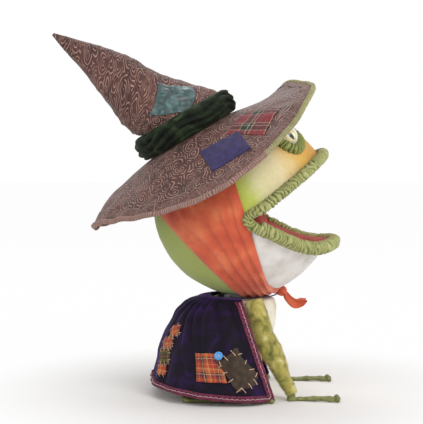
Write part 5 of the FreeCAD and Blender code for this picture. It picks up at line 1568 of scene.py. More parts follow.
@dataclass
class Hat:
    """The tall pointed hat: stuffed leaning crown, gathered velvet band, wired wide brim and sewn patches."""

    body: Anatomy
    seat_x: float = -70.7
    seat_z: float = 354.0
    tilt: float = 30.0
    crown_radius: float = 66.0
    band_radius: float = 61.5
    crown_length: float = 207.0
    lean: float = 57.3
    slump: float = 9.0
    tip: float = 2.0
    foot: float = 2.3
    brim_inner: float = 62.0
    brim_radius: float = 176.0
    brim_thickness: float = 4.0
    brim_turns: int = 400
    crown_turns: int = 220
    end_drop: float = 23.0
    side_drop: float = 49.0
    curl: float = 34.0
    rear_flop: float = 16.0
    curl_turn: float = 34.0
    curl_spread: float = 20.0
    dip: float = 9.0
    dip_turn: float = 155.0
    dip_spread: float = 22.0
    flop_spread: float = 24.0
    hem: float = 3.0
    hem_width: float = 12.0
    band_height: float = 34.0
    band_thickness: float = 9.0
    satin_half: Sequence[float] = (23.0, 30.0)
    folds: Rows = ((0.10, 0.6, 38), (0.21, 1.0, 46), (0.34, 0.9, 54), (0.48, 0.4, 56),
                                        (0.66, 0.0, 56), (0.83, 0.0, 54), (1.0, 0.0, 48))

    def point(self, radius: Numbers, turn: Numbers, rise: Numbers) -> Array:
        """A point round the hat's axis, or one for each value where arrays are given."""
        radius, turn, rise = np.broadcast_arrays(*[np.asarray(v, float) for v in (radius, turn, rise)])
        along, side = radius * np.cos(turn), radius * np.sin(turn)
        c, _, s = heading(self.tilt)
        return np.stack([self.seat_x + along * c - rise * s, side, self.seat_z + along * s + rise * c],
                        axis=-1)

    def sweep(self, radius: Numbers, turn: Numbers) -> Array:
        """How high the brim's middle stands over the hat's foot plane."""
        share = np.maximum((radius - self.brim_inner) / (self.brim_radius - self.brim_inner), 0)
        degrees = np.degrees((np.asarray(turn) + math.pi) % TAU - math.pi)
        drop = self.end_drop + self.side_drop * np.sin(turn) ** 2
        up = (self.curl * np.exp(-(((degrees - self.curl_turn) / self.curl_spread) ** 2))
              - self.dip * np.exp(-(((degrees - self.dip_turn) / self.dip_spread) ** 2)))
        flop = self.rear_flop * np.exp(-(((np.abs(degrees) - 180) / self.flop_spread) ** 2)) * share**5
        return -drop * share**1.1 + up * share**2 - flop

    def brim_surface(self, radius: Numbers, turn: Numbers, lift: Numbers) -> Array:
        """A point over the brim's middle, with the soft waves of wired cloth."""
        share = np.clip((np.asarray(radius) - self.brim_inner) / (self.brim_radius - self.brim_inner), 0, 1)
        base = self.point(radius, turn, self.sweep(radius, turn))
        wave = (undulate(base, 58, 51) * 1.5 + undulate(base, 21, 52) * 0.5) * share
        return self.point(radius, turn, self.sweep(radius, turn) + wave + lift)

    def build(self, w: Wardrobe) -> None:
        """Makes the whole hat."""
        self.brim(w)
        self.hem_roll(w)
        self.crown(w)
        self.band(w)
        self.patches(w)

    def brim(self, w: Wardrobe) -> None:
        """The brim: two layers of damask over a stiffener, open round the crown's foot."""
        turn = whole_turn(self.brim_turns)[None, :]
        half = self.brim_thickness / 2
        out = np.linspace(self.brim_inner, self.brim_radius, 60)[:, None]
        over = self.brim_surface(out, turn, half)
        under = self.brim_surface(out[::-1], turn, -half)
        points = np.concatenate([over, under])
        turns = np.linspace(0, TAU, self.brim_turns + 1)[None, :]
        radius = np.concatenate([out, out[::-1]])
        flat = np.stack([radius * np.cos(turns), radius * np.sin(turns)], axis=-1)
        piece = w.dress(hooped(Cloth(points, flat, True), "brim_damask"), "damask")
        settle(piece, Body.HEAD, "hat_cloth", "hat_brim")
        self.binding(w)

    def binding(self, w: Wardrobe) -> None:
        """The folded binding along the brim's edge, over and under, with its blanket stitches."""
        turn = whole_turn(500)[None, :]
        half = self.brim_thickness / 2 + 0.7
        inner = self.brim_radius - self.hem_width
        ragged = 1.2 * np.sin(turn * 31 + 2 * np.sin(turn * 5)) + 0.7 * np.sin(turn * 83)
        share = np.linspace(0, 1, 12)[:, None]
        out = inner + ragged + (self.brim_radius + 1.0 - inner - ragged) * share
        round_off = np.sqrt(np.maximum(0, 1 - share**8))
        over = self.brim_surface(out, turn, half * round_off)
        under = self.brim_surface(out[::-1], turn, -half * round_off[::-1])
        points = np.concatenate([over, under])
        grid = Cloth(points, flatten(points, True), True)
        grid = grid.lifted(undulate(points, 7, 53) * 0.35)
        grid.side = 1.0 if grid.normals()[0, 0] @ heading(90 + self.tilt) > 0 else -1.0
        piece = w.dress(grid.shell("brim_binding", 0.5), "binding")
        settle(piece, Body.HEAD, "hem_binding")
        rng = np.random.default_rng(54)
        count = 84
        spots = whole_turn(count) + rng.normal(0, 0.008, count)
        reach = self.brim_radius - self.hem_width - 2.0 + rng.normal(0, 1.2, count)
        starts, ends, lifts = [], [], []
        for sign in (1, -1):
            lift = self.point(0, 0, sign) - self.point(0, 0, 0)
            for t, r in zip(spots, reach):
                a = self.brim_surface(r, t, sign * (half + 0.2))
                b = self.brim_surface(self.brim_radius + 0.6, t + rng.normal(0, 0.01), sign * (half - 0.2))
                starts += [a, a]
                ends += [b, self.brim_surface(r + 0.4, t + TAU / count * 0.96, sign * (half + 0.2))]
                lifts += [lift, lift]
        piece = w.stitch("blanket_stitches", np.array(starts), np.array(ends), np.array(lifts), "hemline",
                         0.24, 0.4)
        settle(piece, Body.HEAD, "hem_binding")

    def hem_roll(self, w: Wardrobe) -> None:
        """The rolled edge: a corded edge round most of the brim and a knitted one along its front."""
        reach = self.brim_radius + self.hem
        spans = (("corded_edge", 62, 296, "edging", 3.2, 0.8), ("knit_edge", -66, 64, "knit", 3.0, 1.3))
        parts = []
        for name, low, high, key, pitch, depth in spans:
            turn = np.radians(np.linspace(low, high, 260))
            path = self.point(reach, turn, self.sweep(self.brim_radius, turn) + undulate(
                self.point(self.brim_radius, turn, self.sweep(self.brim_radius, turn)), 58, 51) * 1.5)
            parts.append(w.roll(name, path, key, self.hem + 0.5, pitch, depth, Seed=8.0, Twist=1.0))
        settle(parts[0], Body.HEAD, "hem_binding", "brim_hem")
        settle(parts[1], Body.HEAD, "hem_binding")

    def crown_cloth(self) -> Cloth:
        """The crown's cloth with its sags and creases."""
        start = self.point(0, 0, self.band_height)
        rows = [[0.0, *self.point(0, 0, self.foot), self.tilt, self.crown_radius],
                [0.5, *self.point(0, 0, self.band_height * 0.55), self.tilt,
                 (self.crown_radius + self.band_radius) / 2],
                [1.0, *start, self.tilt, self.band_radius]]
        for share, sink, lean in self.folds:
            centre = start + heading(90 + self.lean) * self.crown_length * share
            centre = centre + heading(180 + self.lean) * self.slump * sink
            radius = self.tip + (self.band_radius - self.tip) * (1 - share) ** 0.95
            rows.append([1 + share * 6, *centre, lean, radius])
        at = np.linspace(0, 7, 200)
        values = smooth_rows(rows, at)
        lean = np.radians(values[:, 3])
        across = np.stack([np.cos(lean), 0 * lean, np.sin(lean)], axis=-1)
        side = np.repeat(vec(0, 1, 0)[None, :], len(at), axis=0)
        radii = np.column_stack([values[:, 4], values[:, 4]])
        grid = ring_cloth(values[:, :3], across, side, radii, self.crown_turns)
        grid.face(grid.points - values[:, None, :3])
        bend = np.exp(-(((at - 2.1) / 1.3) ** 2))[:, None]
        angle = whole_turn(self.crown_turns)[None, :]
        inner = (1 - np.cos(angle)) / 2
        stretched = grid.points * vec(1.0, 0.45, 1.0)
        ripple = np.abs(undulate(stretched, 26, 61)) * 2.2 + np.abs(undulate(stretched, 13, 62)) * 1.0
        dent = undulate(grid.points, 52, 63) * 1.6
        thin = np.minimum(1, values[:, 4] / 30)[:, None]
        return grid.lifted((dent - ripple * bend * (0.35 + 0.9 * inner) - ripple * 0.25) * thin)

    def crown(self, w: Wardrobe) -> None:
        """The stuffed crown."""
        piece = w.dress(capped(self.crown_cloth(), "crown_damask"), "damask")
        settle(piece, Body.HEAD, "hat_cloth", "hat_crown")

    def band(self, w: Wardrobe) -> None:
        """The velvet band, drawn round the crown in deep slanting gathers."""
        turn = whole_turn(360)[None, :]
        t = np.linspace(0, 1, 70)[:, None]
        arc = t * math.pi
        low, high = self.foot, self.band_height + 2
        rise = low + (high - low) * (0.5 - 0.5 * np.cos(arc)) + 0 * turn
        bulge = self.crown_radius - 3 + (self.band_thickness + 3) * np.sin(arc) ** 0.6 + 0 * turn
        base = self.point(bulge, turn, rise)
        lay_of = rise / 11.0 + 0.7 * np.sin(turn * 2 + 0.6) + 0.3 * np.sin(turn * 5 + 1.0)
        lay_of = lay_of + 0.25 * undulate(base, 45, 71)
        fold = np.abs(np.sin(lay_of * math.pi)) ** 0.8 * 5.4 + undulate(base, 16, 72) * 0.5
        radius = bulge + (fold - 3.2) * np.sin(arc) ** 0.8
        points = self.point(radius, turn, rise + 1.5 * undulate(base, 40, 73) * np.sin(arc))
        inner = self.point(self.crown_radius - 4.5 + 0 * turn, turn,
                           high - (high - low) * np.linspace(0, 1, 6)[:, None])
        points = np.concatenate([points, inner])
        grid = Cloth(points, flatten(points, True), True)
        piece = w.dress(hooped(grid, "band_velvet_gathers"), "band")
        settle(piece, Body.HEAD, "band_velvet", "hat_band")

    def patches(self, w: Wardrobe) -> None:
        """The tartan and felt patches on the brim and the creased satin one on the crown."""
        specs = (("brim_tartan", -47, 122, 60, 54, "tartan", "tartan", "brim_patch_tartan", 8),
                 ("brim_felt", -76, 128, 58, 44, "plum", "plum_felt", "brim_patch_felt", -10))
        half = self.brim_thickness / 2
        for n, (name, around, out, wide, deep, key, slot, node, skew) in enumerate(specs):
            u = np.linspace(-deep / 2, deep / 2, 44)[:, None]
            v = np.linspace(-wide / 2, wide / 2, 56)[None, :]
            frayed = 0.5 * np.sin(v * 1.7) + 0.4 * np.sin(u * 1.3)
            c, _, s = heading(skew)
            x = out + u * c - v * s + 0.02 * frayed * np.abs(u)
            y = u * s + v * c + 0.02 * frayed * np.abs(v)
            radius = np.hypot(x, y)
            turn = math.radians(around) + np.arctan2(y, x)
            edge = np.maximum(np.abs(u) / (deep / 2), np.abs(v) / (wide / 2))
            puff = 1.6 + 0.35 * undulate(self.point(radius, turn, 0), 14, 81 + n) + 0.5 * n
            puff = puff - 0.7 * edge**6
            points = self.brim_surface(radius, turn, half + puff)
            grid = Cloth(points, flatten(points), False)
            grid.face(heading(90 + self.tilt))
            piece = w.dress(grid.shell(name + "_patch", 1.0), key)
            settle(piece, Body.HEAD, slot, node)
        self.satin_patch(w)

    def satin_patch(self, w: Wardrobe) -> None:
        """The satin patch, bunched across the crown's right side above the band."""
        crown = self.crown_cloth()
        centre = self.point(4, 0, self.band_height + 22)
        cols = crown.points.shape[1]
        picks = crown.points.reshape(-1, 3)
        side = picks[:, 1] < 0
        gap = np.where(side, np.hypot(picks[:, 0] - centre[0], picks[:, 2] - centre[2]), 1e9)
        i0, j0 = divmod(int(np.argmin(gap)), cols)
        per_row = np.linalg.norm(crown.points[i0 + 1, j0] - crown.points[i0, j0])
        per_col = np.linalg.norm(crown.points[i0, (j0 + 1) % cols] - crown.points[i0, j0])
        tall, wide = self.satin_half
        u, v = np.linspace(-tall, tall, 50)[:, None], np.linspace(-wide, wide, 62)[None, :]
        skew = math.radians(-30)
        a = u * math.cos(skew) - v * math.sin(skew)
        b = u * math.sin(skew) + v * math.cos(skew)
        points = sample(crown.points, i0 + a / per_row, j0 + b / per_col, True)
        normals = sample(crown.normals(), i0 + a / per_row, j0 + b / per_col, True)
        crease = np.abs(undulate(points * vec(0.6, 1, 1.3), 20, 91)) * 2.0 + undulate(points, 9, 92) * 0.5
        edge = np.maximum(np.abs(u) / tall, np.abs(v) / wide)
        points = points + normals * (1.4 + crease * (1 - edge**4))[..., None]
        grid = Cloth(points, np.stack([v + 0 * u, u + 0 * v], axis=-1))
        grid.face(normals)
        piece = w.dress(grid.shell("crown_satin_patch", 0.8), "satin")
        settle(piece, Body.HEAD, "teal_satin", "crown_patch")


def sample(grid: Array, rows: Array, cols: Array, wrapped: bool = False) -> Array:
    """Reads a grid of values between its points.

    Args:
        grid: values on rows and columns.
        rows: row places, fractions allowed.
        cols: column places, fractions allowed.
        wrapped: whether the last column is followed by the first.

    Returns:
        A value for each place.
    """
    count_r, count_c = grid.shape[:2]
    rows = np.clip(rows, 0, count_r - 1.001)
    if not wrapped:
        cols = np.clip(cols, 0, count_c - 1.001)
    i, j = np.floor(rows).astype(int), np.floor(cols).astype(int)
    fr, fc = (rows - i)[..., None], (cols - j)[..., None]
    k = j + 1
    if wrapped:
        j, k = j % count_c, k % count_c
    return ((1 - fr) * (1 - fc) * grid[i, j] + (1 - fr) * fc * grid[i, k]
            + fr * (1 - fc) * grid[i + 1, j] + fr * fc * grid[i + 1, k])


@dataclass(frozen=True)
class Patch:
    """A patch on the cape: where its middle lies in side view, its size, its tilt and its finish."""

    name: str
    place: tuple[float, float]
    wide: float
    tall: float
    turn: float
    key: str
    lift: float = 2.0
    ragged: float = 0.5
    nodes: Sequence[str] = ()
    slot: str = "tartan"


@dataclass
class Cape:
    """The velvet cape: gathered to the neck cord, edged with braid, and patched down its right side."""

    rows: Rows = ((0, -29, 104, 121), (39, -26, 96, 116), (72, -24, 89, 106),
                                       (101, -20, 79, 90),
                                       (118, -16, 72, 74), (131.5, -6, 59, 56), (135.0, -1, 49, 49),
                                       (135.3, 0, 45, 45))
    front_foot: float = 42.0
    front_top: float = -3.0
    hem_front: Sequence[float] = (38.0, 2.5)
    hem_rear: Sequence[float] = (-131.0, 16.0)
    top: float = 135.2
    thickness: float = 1.6
    gathers: float = 15.0
    trim_width: float = 11.0
    collar_radius: float = 46.5
    collar_z: float = 135.1
    collar_rise: float = 1.3
    grid: Optional[Cloth] = None
    size: tuple = (150, 520)

    def shape(self) -> Cloth:
        """The cape's outer side as a grid: rows from neck to hem, columns from left edge to right."""
        n_rows, n_cols = self.size
        v = np.linspace(0, 1, n_rows)[:, None]
        u = np.linspace(0, 1, n_cols)[None, :]
        z = self.top * (1 - v) + 8 * v + 0 * u
        for _ in range(4):
            values = smooth_rows(self.rows, z.ravel()).reshape(*z.shape, 3)
            centre, a, b = values[..., 0], values[..., 1], values[..., 2]
            edge = self.front_foot + (self.front_top - self.front_foot) * z / self.collar_z
            reach = np.arccos(np.clip((edge - centre) / a, -1, 1))
            theta = reach + (TAU - 2 * reach) * u
            x = centre + a * np.cos(theta)
            hem = self.hem_front[1] + (self.hem_front[0] - x) * (self.hem_rear[1] - self.hem_front[1]) / (
                self.hem_front[0] - self.hem_rear[0])
            z = self.top * (1 - v) + np.maximum(hem, 0.6) * v
        points = np.stack([x, b * np.sin(theta), z], axis=-1)
        grid = Cloth(points, flatten(points), False, 1.0)
        grid.face(points - vec(-25, 0, 40))
        phase = u * self.gathers + 0.35 * np.sin(u * 17) + 0.3 * undulate(points, 70, 101)
        pinch = np.abs(np.sin(phase * math.pi)) ** 0.7 - 0.75
        soft = np.sin(u * TAU * 9 + 1.5 * undulate(points, 90, 102))
        edge = np.clip(v / 0.07, 0, 1) ** 2
        depth = 4.4 * edge * np.exp(-((v / 0.3) ** 2)) + 2.0 * np.exp(-(((v - 0.42) / 0.3) ** 2))
        swing = 3.0 * np.clip((v - 0.15) / 0.5, 0, 1)
        margin = np.minimum(1, np.minimum(u, 1 - u) * 22)
        height = (pinch * depth + soft * swing * 0.7 + undulate(points, 34, 103) * 0.8 * v) * margin
        return grid.lifted(height)

    def at(self, u: Array, v: Array, lift: Numbers = 0.0) -> Array:
        """A point over the cape at a share of its width and of its length."""
        n_rows, n_cols = self.size
        spots = sample(self.grid.points, v * (n_rows - 1), u * (n_cols - 1))
        normals = sample(self.grid.normals(), v * (n_rows - 1), u * (n_cols - 1))
        return spots + normals * np.asarray(lift)[..., None]

    def find(self, x: float, z: float) -> tuple[float, float]:
        """Where on the cape's right half the cloth has that place in side view."""
        points = self.grid.points
        gap = np.hypot(points[..., 0] - x, points[..., 2] - z) + 1e6 * (points[..., 1] > 0)
        i, j = np.unravel_index(np.argmin(gap), gap.shape)
        return j / (self.size[1] - 1), i / (self.size[0] - 1)

    def spread(self, u: float, v: float, east: Array, north: Array, turn: float) -> tuple[Array, Array]:
        """Cape places for distances in millimetres from a spot on it.

        Args:
            u: the spot's share of the width.
            v: its share of the length.
            east: distances towards the front edge.
            north: distances upwards.
            turn: how far the whole lot is turned, in degrees.

        Returns:
            The shares of width and of length.
        """
        step = 0.01
        here = self.at(np.array(u), np.array(v))
        wide = np.linalg.norm(self.at(np.array(min(u + step, 1)), np.array(v)) - here) / step
        tall = np.linalg.norm(self.at(np.array(u), np.array(v - step)) - here) / step
        c, _, s = heading(turn)
        return u + (east * c - north * s) / wide, v - (east * s + north * c) / tall

    def build(self, w: Wardrobe) -> None:
        """Makes the cape and everything sewn on it."""
        self.grid = self.shape()
        piece = w.dress(self.grid.shell("cape_velvet_cloth", self.thickness), "cape")
        settle(piece, Body.TORSO, "cape_velvet", "cape")
        self.trim(w)
        self.cord(w)
        self.patches(w)

    def cord(self, w: Wardrobe) -> None:
        """The twisted cord that draws the cape in at the neck."""
        t = whole_turn(140)
        path = np.stack([self.collar_radius * np.cos(t), self.collar_radius * np.sin(t),
                         self.collar_z + self.collar_rise * np.clip(np.cos(t), 0, 1)], axis=-1)
        piece = w.roll("collar_twist", path, "cord", 1.1, 3.0, 0.5, closed=True, Twist=2.0, Unevenness=0.3)
        settle(piece, Body.TORSO, "neck_cord", "collar_cord")

    def trim(self, w: Wardrobe) -> None:
        """Gimp braid along both front edges and the hem, with its chain and loop stitches."""
        count = 260
        down, along = np.linspace(0.03, 0.955, count), np.linspace(0.985, 0.015, count * 2)
        n_rows = self.size[0]
        widths = np.linalg.norm(np.diff(self.grid.points, axis=1), axis=2).sum(axis=1)
        tall = np.linalg.norm(np.diff(self.grid.points, axis=0), axis=2).sum(axis=0).mean()
        inset = self.trim_width / np.interp(down, np.linspace(0, 1, n_rows), widths)
        lower = 1 - self.trim_width / tall
        outer_u = np.concatenate([1 + 0 * down, along, 0 * down])
        outer_v = np.concatenate([down, 1 + 0 * along, down[::-1]])
        inner_u = np.concatenate([1 - inset, np.clip(along, inset[-1], 1 - inset[-1]), inset[::-1]])
        inner_v = np.concatenate([np.minimum(down, lower), lower + 0 * along, np.minimum(down[::-1], lower)])
        plies = 12
        share = np.linspace(0, 1, plies + 1)[None, :]
        u = outer_u[:, None] * (1 - share) + inner_u[:, None] * share
        v = outer_v[:, None] * (1 - share) + inner_v[:, None] * share
        steps = np.linalg.norm(np.diff(self.at(outer_u, outer_v), axis=0), axis=1)
        run = np.cumsum(np.r_[0, steps])[:, None]
        scallop = 0.9 + 0.5 * np.abs(np.sin(run / 3.1 + share * 3)) - 0.35 * np.cos(share * TAU * 2)
        points = self.at(u, v, 0.5 + scallop)
        grid = Cloth(points, np.stack([run + 0 * share, share * self.trim_width + 0 * run], axis=-1))
        rows = self.at(u, v)
        grid.face(points - rows)
        piece = w.dress(grid.shell("gimp_braid", 1.2), "braid")
        settle(piece, Body.TORSO, "cape_braid", "cape_trim")

        total = float(run[-1, 0])

        def spot(s: Array, across: Array, lift: float) -> Array:
            """Places on the braid at a run along it and a share of its width."""
            i = np.interp(s, run[:, 0], np.arange(len(run)))
            return sample(grid.points, i, across * plies) + sample(grid.normals(), i, across * plies) * lift

        chain = np.arange(4, total - 7, 7.0)
        both = [(spot(chain + a0, 0 * chain + b0, 0.3), spot(chain + a1, 0 * chain + b1, 0.3))
                for a0, b0, a1, b1 in ((0, 0.42, 2.6, 0.58), (3.2, 0.56, 5.8, 0.44))]
        lift = spot(chain, 0 * chain + 0.5, 1.3) - spot(chain, 0 * chain + 0.5, 0.3)
        self.sew("braid_chain", both, lift, w, "rose", 0.42)
        edge = np.arange(4, total - 4, 4.4)
        both = [(spot(edge, 0 * edge + 0.06, 0.2), spot(edge + 1.7, 0 * edge + 0.2, 0.2)),
                (spot(edge + 1.7, 0 * edge + 0.94, 0.2), spot(edge + 3.4, 0 * edge + 0.8, 0.2))]
        lift = spot(edge, 0 * edge + 0.5, 1.3) - spot(edge, 0 * edge + 0.5, 0.3)
        self.sew("braid_loops", both, lift, w, "braidloop", 0.4)

    def sew(self, name: str, pairs: Sequence, lift: Array, w: Wardrobe, key: str, thread: float) -> None:
        """Sews pairs of start and end points as one set of stitches on the cape."""
        starts = np.concatenate([p[0] for p in pairs])
        ends = np.concatenate([p[1] for p in pairs])
        lifts = np.concatenate([lift] * len(pairs))
        piece = w.stitch(name, starts, ends, lifts, key, thread, 0.6)
        settle(piece, Body.TORSO, "cape_braid")

    def patch(self, p: Patch, w: Wardrobe) -> None:
        """Lays one patch on the cape."""
        a, b = np.linspace(-1, 1, 56)[None, :], np.linspace(-1, 1, 48)[:, None]
        way, salt = np.arctan2(b, a + 1e-6), len(p.name)
        bow = 1 + p.ragged * (0.10 * np.sin(5 * way + salt) + 0.05 * np.sin(9 * way))
        east, north = a * p.wide / 2 * bow, b * p.tall / 2 * bow
        u, v = self.spread(*self.find(*p.place), east, north, p.turn)
        edge = np.maximum(np.abs(a), np.abs(b))
        base = self.at(u, v)
        puff = p.lift + 0.4 * undulate(base, 12, 111 + salt) * (1 - edge**4) - 0.6 * edge**8
        grid = Cloth(self.at(u, v, puff), np.stack([east + 0 * b, north + 0 * a], axis=-1))
        grid.face(self.at(u, v, 1 + 0 * u) - base)
        piece = w.dress(grid.shell(p.name, 1.0), p.key)
        settle(piece, Body.TORSO, p.slot, *p.nodes)

    def oversew(self, p: Patch, name: str, length: float, pitch: float, lift: float, thread: float, seed: int,
                w: Wardrobe) -> None:
        """Sews a patch down with straight stitches across its edge.

        Args:
            p: the patch.
            name: the stitches' name.
            length: one stitch's length.
            pitch: from stitch to stitch.
            lift: how far the stitches lie off the velvet.
            thread: the thread's radius.
            seed: fixes the hand's unevenness.
            w: the finishes.
        """
        rng = np.random.default_rng(seed)
        inner, outer = [], []
        wide, tall = p.wide, p.tall
        for across, reach, flip in ((wide, tall / 2, 0), (wide, -tall / 2, 0), (tall, wide / 2, 1),
                                    (tall, -wide / 2, 1)):
            places = np.arange(-across / 2 + pitch / 2, across / 2, pitch)
            places = places + rng.normal(0, pitch * 0.12, len(places))
            sign = math.copysign(1, reach)
            for along in places:
                slant = rng.normal(0, length * 0.18)
                a, b = (along + slant, reach + sign * length * 0.4), (along, reach - sign * length * 0.6)
                outer.append(a[::-1] if flip else a)
                inner.append(b[::-1] if flip else b)
        spot = self.find(*p.place)
        starts = self.at(*self.spread(*spot, *np.array(inner).T, p.turn), lift)
        u, v = self.spread(*spot, *np.array(outer).T, p.turn)
        ends = self.at(u, v, 0.4)
        piece = w.stitch(name, starts, ends, self.at(u, v, 1.4) - ends, "cream", thread, 1.1)
        settle(piece, Body.TORSO, "cape_braid")

    def patches(self, w: Wardrobe) -> None:
        """The patches with their stitches, and the button."""
        self.patch(Patch("cape_tartan", (-47, 51), 43, 39, 3, "check", 2.2, 0.0, ("cape_patch_tartan",)), w)
        felt = Patch("cape_felt", (-8, 47), 38, 46, 30, "brown", 2.8, 0.8, ("cape_patch_felt",), "brown_felt")
        self.patch(felt, w)
        self.oversew(felt, "felt_stitches", 8.5, 11.5, 3.0, 0.6, 122, w)
        specs = (((-94, 90), 24, 17, 28, "check"), ((-101, 74), 24, 17, 22, "check"),
                 ((-106, 57), 24, 20, 16, "mustard"), ((-111, 39), 18, 14, 10, "check"))
        for n, spec in enumerate(specs, 1):
            rear = Patch(f"rear_patch_{n}", *spec, nodes=("cape_patch_rear",) if n == 1 else ())
            self.patch(rear, w)
            self.oversew(rear, f"rear_stitches_{n}", 5.5, 8.5, 2.2, 0.34, 124 + n, w)
        self.button(w)

    def button(self, w: Wardrobe) -> None:
        """The blue four-hole button at the tartan patch's upper corner."""
        u, v = self.find(-34, 65)
        seat = self.at(np.array(u), np.array(v), 3.2)
        out = unit(self.at(np.array(u), np.array(v), 1.0) - self.at(np.array(u), np.array(v), 0.0))
        across = unit(np.cross(vec(0, 0, 1), out))
        up = np.cross(out, across)
        profile = [(0.02, 0.9), (2.6, 0.9), (3.5, 1.0), (4.0, 1.9), (4.8, 2.3), (5.6, 1.8), (5.8, 0.9),
                   (5.4, 0.1), (0.02, 0.0)]
        points = resample(np.array([(r, h, 0) for r, h in profile]), 60)
        t = whole_turn(96)[None, :, None]
        ring = seat + (across * np.cos(t) + up * np.sin(t)) * points[:, None, :1] + out * points[:, None, 1:2]
        disc = capped(Cloth(ring, flatten(ring, True), True), "button_disc")
        holes = [(dx * 1.3, dy * 1.3) for dx in (-1, 1) for dy in (-1, 1)]
        work = bmesh.new()
        bore, sides = 0.55, 16
        for x, y in holes:
            rings = []
            for depth in (3.0, -1.0):
                row = [seat + across * (x + bore * math.cos(k)) + up * (y + bore * math.sin(k)) + out * depth
                       for k in whole_turn(sides)]
                rings.append([work.verts.new(Vector(p) * MM) for p in row])
            for k in range(sides):
                after = (k + 1) % sides
                work.faces.new((rings[0][k], rings[0][after], rings[1][after], rings[1][k]))
            work.faces.new(rings[0][::-1])
            work.faces.new(rings[1])
        bmesh.ops.recalc_face_normals(work, faces=work.faces)
        mesh = bpy.data.meshes.new("button_holes")
        work.to_mesh(mesh)
        work.free()
        tool = bpy.data.objects.new("button_holes", mesh)
        bpy.context.scene.collection.objects.link(tool)
        drill = disc.modifiers.new("holes", "BOOLEAN")
        drill.operation, drill.object, drill.solver = "DIFFERENCE", tool, "EXACT"
        bake(disc)
        bpy.data.objects.remove(tool)
        disc.name = "four_hole_button"
        w.dress(disc, "button")
        settle(disc, Body.TORSO, "blue_button", "cape_button")
        pairs = [(seat + across * a[0] + up * a[1] + out * 0.8, seat + across * b[0] + up * b[1] + out * 0.8)
                 for a, b in ((holes[0], holes[3]), (holes[1], holes[2]))]
        piece = w.stitch("button_thread", np.array([p[0] for p in pairs]), np.array([p[1] for p in pairs]),
                         np.array([out, out]), "pale", 0.35, 0.9)
        settle(piece, Body.TORSO, "blue_button")


